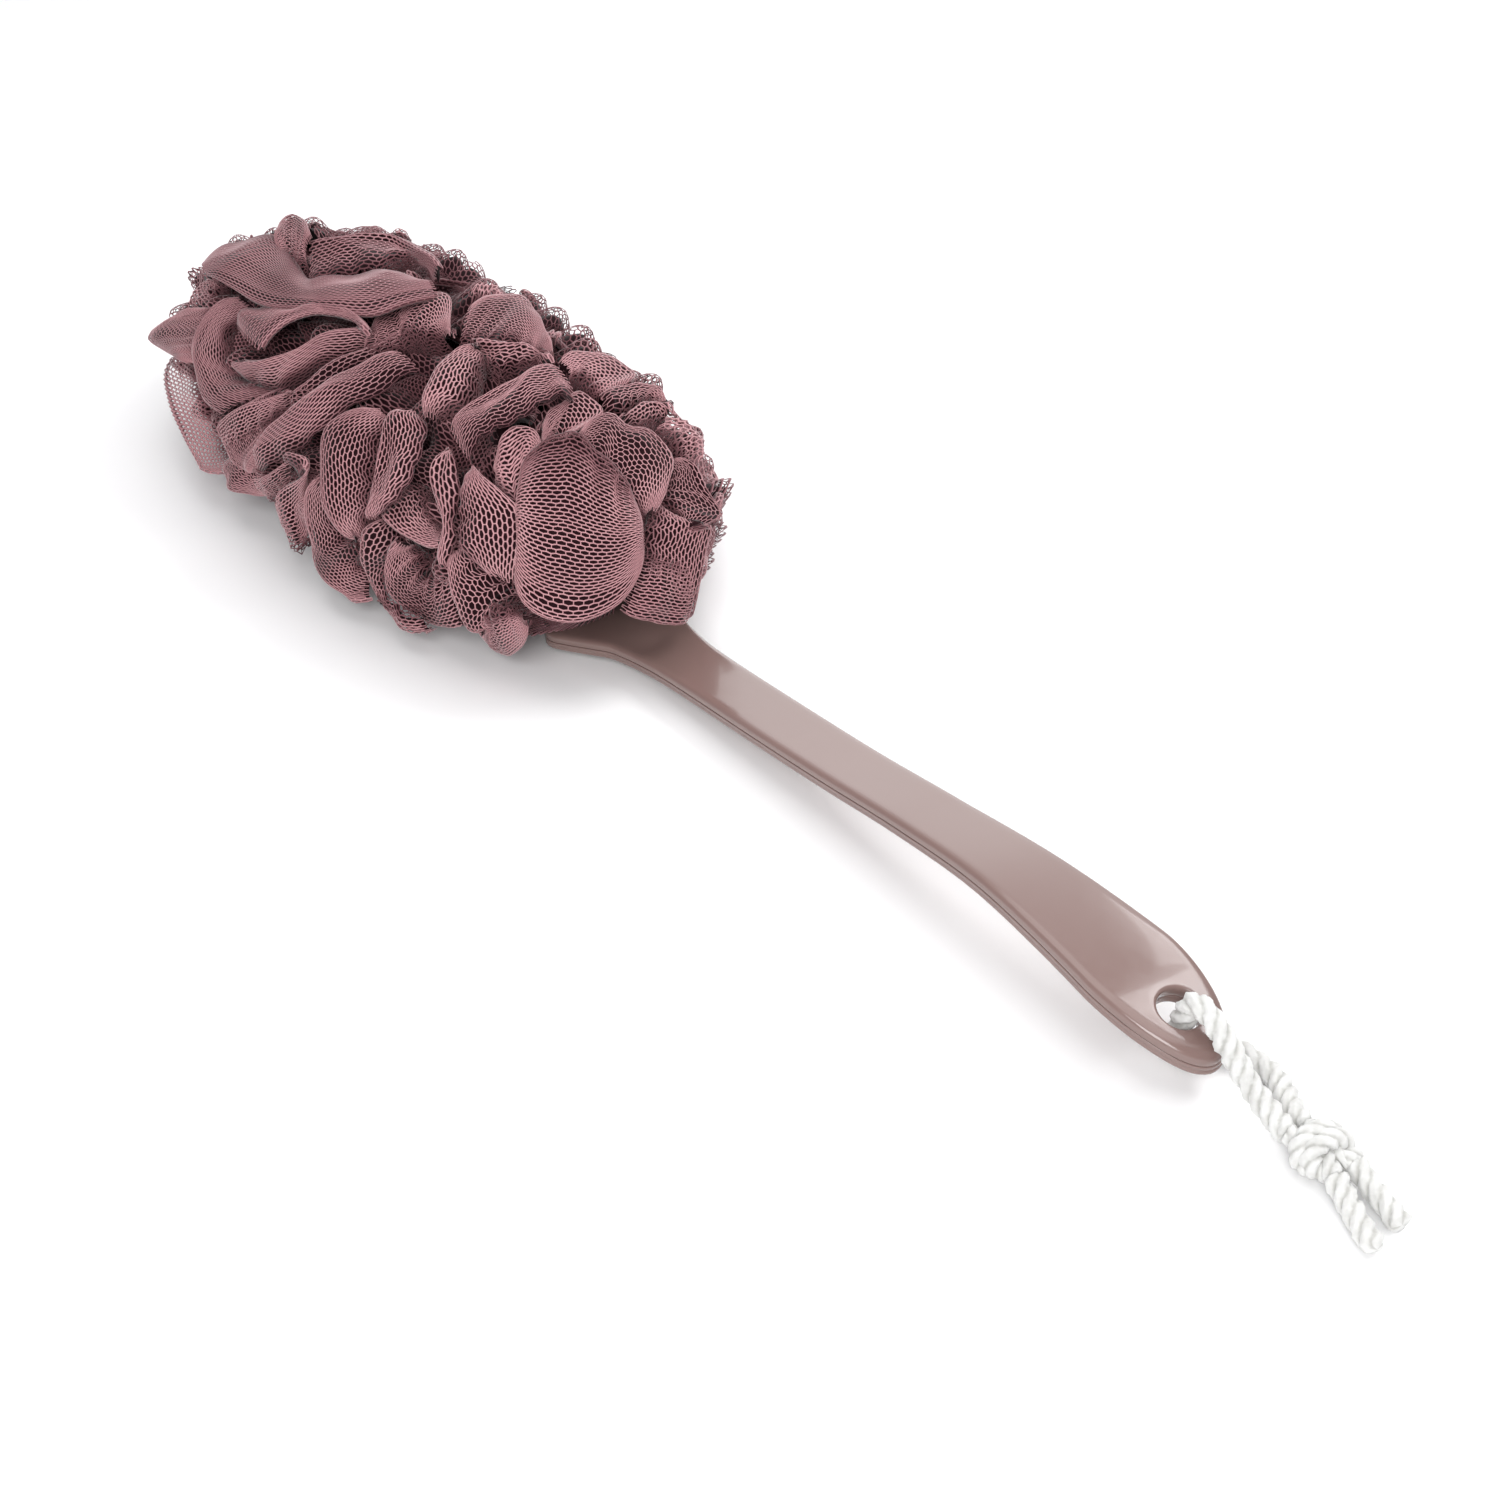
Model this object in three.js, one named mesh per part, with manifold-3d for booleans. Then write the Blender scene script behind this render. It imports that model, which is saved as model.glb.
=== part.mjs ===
// Loofah back scrubber: a long two-shell plastic handle with a flat head that carries ten bundles of
// ruffled bath netting, each lashed down by its own tie, and a cotton hanging cord through the tail.
// Millimetres. +X runs from the netting towards the hanging cord, +Y across, +Z up. The scrubber lies
// on its netting, with the tail of the handle resting on the lower leg of the cord.
import * as THREE from 'three';
import { mergeVertices } from 'three/addons/utils/BufferGeometryUtils.js';
import Module from 'manifold-3d';

const wasm = await Module();
wasm.setup();

// Overall
const HALF_LENGTH = 213; // netting end and handle tip are this far from the origin along X
const TOUCH_GAP = 0.3; // left between pieces that touch

// Handle, seen from the side: the top face through these points, x and z
const TOP_FACE = [
  [-200, 6.8], [-110, 6.8], [-20, 6.8], [13, 7.6], [53, 10.6], [93, 14.2],
  [123, 17.8], [153, 20.5], [183, 19], [201, 15.5], [213.2, 11],
];
const STRIP_THICKNESS = 4.6;
const TAIL_THICKNESS = 5.4;
const THICKENING_START_X = 113;
const THICKENING_END_X = 193;

// Handle, seen from above: half widths
const STRIP_EDGE = [[169, 10.8], [143, 9], [113, 8.4], [73, 8.5], [37, 8.7], [23, 9.7], [13, 11.7]];
const PADDLE_X = 187; // where the tail is widest
const PADDLE_HALF_WIDTH = 12.2;
const SHOULDER = [[-1, 20.8], [-3.6, 21.2], [-6.2, 19.8], [-12, 17]];
const HEAD_HALF_WIDTH = 17;
const HEAD_END_X = -196;
const HEAD_END_RADIUS = 14;

// Shells
const WALL = 1.6;
const ROOF = 1.2;
const CAVITY_X = [26, 188];
const RIB_PITCH = 27;
const RIB_THICKNESS = 1.2;
const PIN_X = [-158.5, -116, -74, -32, 6, 191];
const PIN_RADIUS = 1.3;
const PIN_LENGTH = 1.4;
const SOCKET_CLEARANCE = 0.35;

// Hanging hole
const HOLE_X = 201;
const HOLE_RADIUS = 4.8;
const HOLE_TILT = THREE.MathUtils.degToRad(15.6); // the tail slopes down towards its tip

// Netting and its ties
const NETTING_NEAR_X = 22;
const NETTING_ROWS = 5;
const NETTING_HALF_WIDTH = 55;
const NETTING_TOP = 65;
const NETTING_MIDDLE_Z = 24; // height at which the netting is widest
const NETTING_SINK = 30; // depth that the round form would have below its middle
const NETTING_SQUARENESS = 2.6;
const RUFFLES = 9;
const RUFFLE_DEPTH = 0.035;
const BUNDLE_GAP = 0.6;
const TIE_X = [-179, -137, -95, -53, -11];
const TIE_Y = 8.5;
const TIE_RING_RADIUS = 4;
const TIE_RING_SQUASH = 0.85;
const TIE_CORD_RADIUS = 0.7;
const TIE_KNOT_RADIUS = 1.5;
const LACING_HOLE_OFFSET = 3.4;
const LACING_HOLE_RADIUS = 1.8;

// Hanging cord: from the knot, over the tail, down through the hole, under the tail and back
const CORD_DIAMETER = 5.2;
const CORD_ROUTE = [
  [232.4, -0.8, 5.6], [229, 0.2, 5.6], [225.4, 0.8, 6.2], [222, 1, 7.5], [219.2, 1, 9.4],
  [216.6, 0.9, 11.6], [214.2, 0.8, 13.9], [211.6, 0.7, 16.1], [208.8, 0.7, 17.9], [206, 0.7, 18.6],
  [203.8, 0.7, 17.6], [203.2, 0.6, 15.6], [202.6, 0.5, 13.2], [201.8, 0.5, 10.6], [201.7, 0.9, 8.2],
  [202.6, 3, 5.4], [204.2, 5.8, 3.9], [206.5, 8.8, 2.9], [209.8, 11.2, 2.7], [213.8, 11.8, 2.7],
  [219.6, 11.4, 2.7], [224.2, 9, 2.8], [228.4, 6.6, 3.3], [232.6, 5, 3.9],
];
const KNOT_CENTRE = [240, 1.6, 5.4];
const KNOT_HALF_SIZE = [6.8, 6.4, 5.2];
const CORD_END_A = [[246.6, -1.8, 4.2], [250.4, -3.4, 3.3], [255.2, -5.4, 2.8], [260.6, -7.2, 2.7]];
const CORD_END_B = [[247, 4.2, 4.1], [250.8, 3.4, 3.2], [255, 2.4, 2.8], [259.4, 1.2, 2.7]];

// Tool sizes, larger than anything they cut
const REACH = 80;
const PROFILE_STEPS = 48;
const SMALL_HOLE_SIDES = 12;

const plastic = new THREE.MeshStandardMaterial({ color: 0xa8928b, roughness: 0.25, metalness: 0 });
const netting = new THREE.MeshStandardMaterial({ color: 0x9a6f74, roughness: 0.8, metalness: 0 });
const tieCord = new THREE.MeshStandardMaterial({ color: 0x8a6165, roughness: 0.7, metalness: 0 });
const cotton = new THREE.MeshStandardMaterial({ color: 0xf3f2ee, roughness: 0.9, metalness: 0 });

function toSolid(geometry) {
  const plain = geometry.clone();
  plain.deleteAttribute('normal');
  plain.deleteAttribute('uv');
  const merged = mergeVertices(plain);
  const vertProperties = new Float32Array(merged.attributes.position.array);
  const triVerts = new Uint32Array(merged.index.array);
  return new wasm.Manifold(new wasm.Mesh({ numProp: 3, vertProperties, triVerts }));
}

function toGeometry(solid) {
  const mesh = solid.getMesh();
  const geometry = new THREE.BufferGeometry();
  geometry.setAttribute('position', new THREE.BufferAttribute(mesh.vertProperties, 3));
  geometry.setIndex(new THREE.BufferAttribute(mesh.triVerts, 1));
  return geometry;
}

function box(low, high) {
  const size = high.map((value, axis) => value - low[axis]);
  const geometry = new THREE.BoxGeometry(...size);
  geometry.translate(...high.map((value, axis) => (value + low[axis]) / 2));
  return toSolid(geometry);
}

function upright(radius, height, x, y, z) {
  const geometry = new THREE.CylinderGeometry(radius, radius, height, SMALL_HOLE_SIDES);
  geometry.rotateX(Math.PI / 2);
  geometry.translate(x, y, z);
  return toSolid(geometry);
}

// ---- Handle ----

function thickness(x) {
  const share = THREE.MathUtils.smoothstep(x, THICKENING_START_X, THICKENING_END_X);
  return THREE.MathUtils.lerp(STRIP_THICKNESS, TAIL_THICKNESS, share);
}

// The curve at a share of the thickness below the top face, raised by lift
function profileCurve(share, lift) {
  const points = TOP_FACE.map(([x, z]) => new THREE.Vector2(x, z - share * thickness(x) + lift));
  return new THREE.SplineCurve(points).getPoints(PROFILE_STEPS);
}

// Everything between two such curves, as wide as REACH on both sides
function profileBand(upper, lower) {
  const shape = new THREE.Shape([...lower, ...upper.slice().reverse()]);
  const geometry = new THREE.ExtrudeGeometry(shape, { depth: 2 * REACH, bevelEnabled: false });
  geometry.rotateX(Math.PI / 2);
  geometry.translate(0, REACH, 0);
  return toSolid(geometry);
}

// The handle's outline from above, drawn in by inset, as a tall prism
function outlinePrism(inset) {
  const edge = (points, sign) => points.map(([x, half]) => new THREE.Vector2(x, sign * (half - inset)));
  const shape = new THREE.Shape();
  const paddle = PADDLE_HALF_WIDTH - inset;
  shape.moveTo(PADDLE_X, -paddle);
  shape.absellipse(PADDLE_X, 0, HALF_LENGTH - PADDLE_X - inset, paddle, -Math.PI / 2, Math.PI / 2);
  shape.splineThru(edge(STRIP_EDGE, 1));
  for (const point of edge(SHOULDER, 1)) shape.lineTo(point.x, point.y);
  const half = HEAD_HALF_WIDTH - inset;
  const corner = half - HEAD_END_RADIUS;
  const cornerX = HEAD_END_X + HEAD_END_RADIUS + inset;
  shape.lineTo(cornerX, half);
  shape.absarc(cornerX, corner, HEAD_END_RADIUS, Math.PI / 2, Math.PI);
  shape.lineTo(cornerX - HEAD_END_RADIUS, -corner);
  shape.absarc(cornerX, -corner, HEAD_END_RADIUS, Math.PI, 1.5 * Math.PI);
  for (const point of edge(SHOULDER, -1).reverse()) shape.lineTo(point.x, point.y);
  const returnEdge = edge(STRIP_EDGE, -1).reverse();
  shape.lineTo(returnEdge[0].x, returnEdge[0].y);
  shape.splineThru([...returnEdge.slice(1), new THREE.Vector2(PADDLE_X, -paddle)]);
  const options = { depth: 2 * REACH, bevelEnabled: false, curveSegments: 6 };
  const geometry = new THREE.ExtrudeGeometry(shape, options);
  geometry.translate(0, 0, -REACH);
  return toSolid(geometry);
}

function midHeight(x) {
  const curve = profileCurve(0.5, 0);
  const next = curve.findIndex((point) => point.x >= x);
  const share = (x - curve[next - 1].x) / (curve[next].x - curve[next - 1].x);
  return THREE.MathUtils.lerp(curve[next - 1].y, curve[next].y, share);
}

// The long hollow of both shells, with cross ribs left standing in it
function stiffenedCavity() {
  const roof = profileCurve(0, -ROOF);
  const floor = profileCurve(1, ROOF);
  let cavity = profileBand(roof, floor).intersect(outlinePrism(WALL));
  cavity = cavity.intersect(box([CAVITY_X[0], -REACH, -REACH], [CAVITY_X[1], REACH, REACH]));
  for (let x = CAVITY_X[0] + RIB_PITCH; x < CAVITY_X[1]; x += RIB_PITCH) {
    const low = [x - RIB_THICKNESS / 2, -REACH, -REACH];
    const high = [x + RIB_THICKNESS / 2, REACH, REACH];
    cavity = cavity.subtract(box(low, high));
  }
  return cavity;
}

function hangingHole() {
  const geometry = new THREE.CylinderGeometry(HOLE_RADIUS, HOLE_RADIUS, REACH, 32);
  geometry.rotateX(Math.PI / 2);
  geometry.rotateY(HOLE_TILT);
  geometry.translate(HOLE_X, 0, midHeight(HOLE_X));
  return toSolid(geometry);
}

function lacingHoles() {
  const holes = [];
  for (const x of TIE_X) {
    for (const side of [-1, 1]) {
      for (const end of [-1, 1]) {
        const holeX = x + end * LACING_HOLE_OFFSET;
        holes.push(upright(LACING_HOLE_RADIUS, REACH, holeX, side * TIE_Y, 0));
      }
    }
  }
  return holes;
}

function shell(upper, lower) {
  let body = profileBand(upper, lower).intersect(outlinePrism(0));
  body = body.subtract(stiffenedCavity()).subtract(hangingHole());
  for (const hole of lacingHoles()) body = body.subtract(hole);
  return body;
}

function upperShell() {
  let body = shell(profileCurve(0, 0), profileCurve(0.5, TOUCH_GAP / 2));
  for (const x of PIN_X) {
    const top = midHeight(x) + 1; // well inside the shell
    const bottom = midHeight(x) - PIN_LENGTH;
    body = body.add(upright(PIN_RADIUS, top - bottom, x, 0, (top + bottom) / 2));
  }
  return body;
}

function lowerShell() {
  let body = shell(profileCurve(0.5, -TOUCH_GAP / 2), profileCurve(1, 0));
  for (const x of PIN_X) {
    const top = midHeight(x) + 1; // above the joint face, so the socket is open
    const bottom = midHeight(x) - PIN_LENGTH - SOCKET_CLEARANCE;
    const radius = PIN_RADIUS + SOCKET_CLEARANCE;
    body = body.subtract(upright(radius, top - bottom, x, 0, (top + bottom) / 2));
  }
  return body;
}

// ---- Netting ----

// A long rounded form with shallow scallops, flat where it lies on the ground
function nettingForm() {
  const geometry = new THREE.SphereGeometry(1, 48, 30);
  geometry.rotateZ(Math.PI / 2);
  const halfLength = (NETTING_NEAR_X + HALF_LENGTH) / 2;
  const position = geometry.attributes.position;
  const way = new THREE.Vector3();
  for (let i = 0; i < position.count; i += 1) {
    way.fromBufferAttribute(position, i);
    const depth = way.z > 0 ? NETTING_TOP - NETTING_MIDDLE_Z : NETTING_SINK;
    const along = (Math.abs(way.x) / halfLength) ** NETTING_SQUARENESS;
    const round = Math.hypot(way.y / NETTING_HALF_WIDTH, way.z / depth) ** NETTING_SQUARENESS;
    const reach = (along + round) ** (-1 / NETTING_SQUARENESS);
    const turn = Math.atan2(way.y, way.z);
    const edgeOn = 1 - Math.abs(way.x);
    const scallop = 1 - RUFFLE_DEPTH * edgeOn * (1 - Math.cos(RUFFLES * turn));
    way.multiplyScalar(reach * scallop);
    position.setXYZ(i, way.x, way.y, way.z);
  }
  geometry.translate((NETTING_NEAR_X - HALF_LENGTH) / 2, 0, NETTING_MIDDLE_Z);
  const ground = box([-2 * HALF_LENGTH, -REACH, 0], [2 * HALF_LENGTH, REACH, 2 * REACH]);
  return toSolid(geometry).intersect(ground);
}

// The room that the head, the neck and the underside keep free
function handleRoom() {
  const lid = profileCurve(0, TOUCH_GAP);
  const base = profileCurve(1, -REACH / 2);
  return profileBand(lid, base).intersect(outlinePrism(-TOUCH_GAP));
}

function tieRoom(x, y) {
  const halfX = TIE_RING_RADIUS + TIE_CORD_RADIUS + TOUCH_GAP;
  const halfY = TIE_KNOT_RADIUS + TOUCH_GAP;
  const deck = TOP_FACE[0][1];
  const height = 2 * TIE_KNOT_RADIUS + 2 * TOUCH_GAP;
  return box([x - halfX, y - halfY, 0], [x + halfX, y + halfY, deck + height]);
}

function bundle(form, row, side) {
  const pitch = (NETTING_NEAR_X + HALF_LENGTH) / NETTING_ROWS;
  const start = row === 0 ? -2 * HALF_LENGTH : -HALF_LENGTH + row * pitch + BUNDLE_GAP / 2;
  const isLast = row === NETTING_ROWS - 1;
  const end = isLast ? 2 * HALF_LENGTH : -HALF_LENGTH + (row + 1) * pitch - BUNDLE_GAP / 2;
  const sides = side < 0 ? [-REACH, -BUNDLE_GAP / 2] : [BUNDLE_GAP / 2, REACH];
  const cell = box([start, sides[0], -REACH], [end, sides[1], 2 * REACH]);
  return form.intersect(cell).subtract(tieRoom(TIE_X[row], side * TIE_Y));
}

// A ring of thin cord through two lacing holes, with its knot on top of the head
function tie(x, y) {
  const ring = new THREE.TorusGeometry(TIE_RING_RADIUS, TIE_CORD_RADIUS, 6, 16);
  ring.rotateX(Math.PI / 2);
  ring.scale(1, 1, TIE_RING_SQUASH);
  const deck = TOP_FACE[0][1];
  const middle = deck - STRIP_THICKNESS / 2;
  ring.translate(x, y, middle);
  const knot = new THREE.SphereGeometry(TIE_KNOT_RADIUS, 10, 6);
  knot.translate(x, y, deck + TOUCH_GAP + TIE_KNOT_RADIUS);
  return toSolid(ring).add(toSolid(knot));
}

// ---- Cord ----

function cordTube(route) {
  const curve = new THREE.CatmullRomCurve3(route.map((point) => new THREE.Vector3(...point)));
  const section = new THREE.Shape();
  section.absarc(0, 0, CORD_DIAMETER / 2, 0, 2 * Math.PI);
  const steps = Math.max(4, Math.round(curve.getLength() / CORD_DIAMETER * 2));
  const options = { steps, curveSegments: 10, bevelEnabled: false, extrudePath: curve };
  return toSolid(new THREE.ExtrudeGeometry(section, options));
}

function cordKnot() {
  const geometry = new THREE.SphereGeometry(1, 20, 12);
  geometry.scale(...KNOT_HALF_SIZE);
  geometry.translate(...KNOT_CENTRE);
  return toSolid(geometry);
}

// ---- Assembly ----

const scrubber = new THREE.Group();

function place(name, solid, material) {
  const mesh = new THREE.Mesh(toGeometry(solid), material);
  mesh.name = name;
  scrubber.add(mesh);
}

place('handle_upper_shell', upperShell(), plastic);
place('handle_lower_shell', lowerShell(), plastic);
const form = nettingForm().subtract(handleRoom());
for (let row = 0; row < NETTING_ROWS; row += 1) {
  for (const [side, label] of [[-1, 'right'], [1, 'left']]) {
    place(`netting_bundle_${row + 1}_${label}`, bundle(form, row, side), netting);
    place(`netting_tie_${row + 1}_${label}`, tie(TIE_X[row], side * TIE_Y), tieCord);
  }
}
place('hanging_cord', cordTube(CORD_ROUTE), cotton);
place('cord_knot', cordKnot(), cotton);
place('cord_end_a', cordTube(CORD_END_A), cotton);
place('cord_end_b', cordTube(CORD_END_B), cotton);

export default scrubber;
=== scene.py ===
import math

import bpy
import numpy as np
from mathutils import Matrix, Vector


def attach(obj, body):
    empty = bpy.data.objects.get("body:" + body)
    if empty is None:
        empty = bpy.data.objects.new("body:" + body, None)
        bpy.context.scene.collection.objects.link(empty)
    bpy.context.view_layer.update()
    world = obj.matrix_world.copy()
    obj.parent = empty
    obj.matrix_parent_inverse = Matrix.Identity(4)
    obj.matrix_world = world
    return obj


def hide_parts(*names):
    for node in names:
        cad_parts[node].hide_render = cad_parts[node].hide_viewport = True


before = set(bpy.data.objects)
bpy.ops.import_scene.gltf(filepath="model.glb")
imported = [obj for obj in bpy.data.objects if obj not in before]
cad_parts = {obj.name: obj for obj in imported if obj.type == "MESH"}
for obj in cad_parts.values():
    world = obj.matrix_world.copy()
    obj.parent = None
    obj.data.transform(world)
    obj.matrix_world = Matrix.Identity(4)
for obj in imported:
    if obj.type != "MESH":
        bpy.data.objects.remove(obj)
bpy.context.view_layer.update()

MM = 0.001

# Camera, as the photograph's, in millimetres of the part's frame
CAMERA_AT = (394.7, -253.8, 306.3)
CAMERA_TARGET = (63.0, -4.1, 0.0)
LENS = 50.0

# Handle: the top face seen from the side (x, z), and half widths seen from above (x, y)
TOP_FACE = [
    [-200, 6.8], [-110, 6.8], [-20, 6.8], [13, 7.6], [53, 10.6], [93, 14.2],
    [123, 17.8], [153, 20.5], [183, 19], [201, 15.5], [213.2, 11],
]
STRIP_THICKNESS, TAIL_THICKNESS = 4.6, 5.4
THICKENING_X = (113, 193)
STRIP_EDGE = [[13, 11.7], [23, 9.7], [37, 8.7], [73, 8.5], [113, 8.4], [143, 9], [169, 10.8], [187, 12.2]]
SHOULDER = [[-12, 17], [-6.2, 19.8], [-3.6, 21.2], [-1, 20.8]]
PADDLE_X, PADDLE_HALF, TIP_X = 187, 12.2, 213
HEAD_END_X, HEAD_END_REACH, HEAD_HALF = -196, 14, 17
HOLE_X, HOLE_RADIUS, HOLE_TILT = 201, 4.8, math.radians(15.6)

# Hanging cord
CORD_DIAMETER = 5.2
CORD_ROUTE = [
    [232.4, -0.8, 5.6], [229, 0.2, 5.6], [225.4, 0.8, 6.2], [222, 1, 7.5], [219.2, 1, 9.4],
    [216.6, 0.9, 11.6], [214.2, 0.8, 13.9], [211.6, 0.7, 16.1], [208.8, 0.7, 17.9], [206, 0.7, 18.6],
    [203.8, 0.7, 17.6], [203.2, 0.6, 15.6], [202.6, 0.5, 13.2], [201.8, 0.5, 10.6], [201.7, 0.9, 8.2],
    [202.6, 3, 5.4], [204.2, 5.8, 3.9], [206.5, 8.8, 2.9], [209.8, 11.2, 2.7], [213.8, 11.8, 2.7],
    [219.6, 11.4, 2.7], [224.2, 9, 2.8], [228.4, 6.6, 3.3], [232.6, 5, 3.9],
]
CORD_END_A = [[245, -1.4, 4.6], [247.4, -2.2, 4.0], [250.4, -3.4, 3.3], [255.2, -5.4, 2.8], [260.4, -7.2, 2.7]]
CORD_END_B = [[245, 4.3, 4.6], [247.4, 4.1, 4.0], [250.8, 3.4, 3.2], [255, 2.4, 2.8], [259.4, 1.2, 2.7]]
KNOT_CENTRE = np.array([240, 1.6, 5.4])

# Netting
PUFF_X = (-213.0, 22.0)
PUFF_HALF_WIDTH, PUFF_TOP, PUFF_MIDDLE_Z, PUFF_SINK = 54.0, 65.0, 24.0, 30.0
PUFF_SQUARENESS = 2.6
# Metres, the same for all ten bundles.
TIE_X = [-179, -137, -95, -53, -11]


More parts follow.
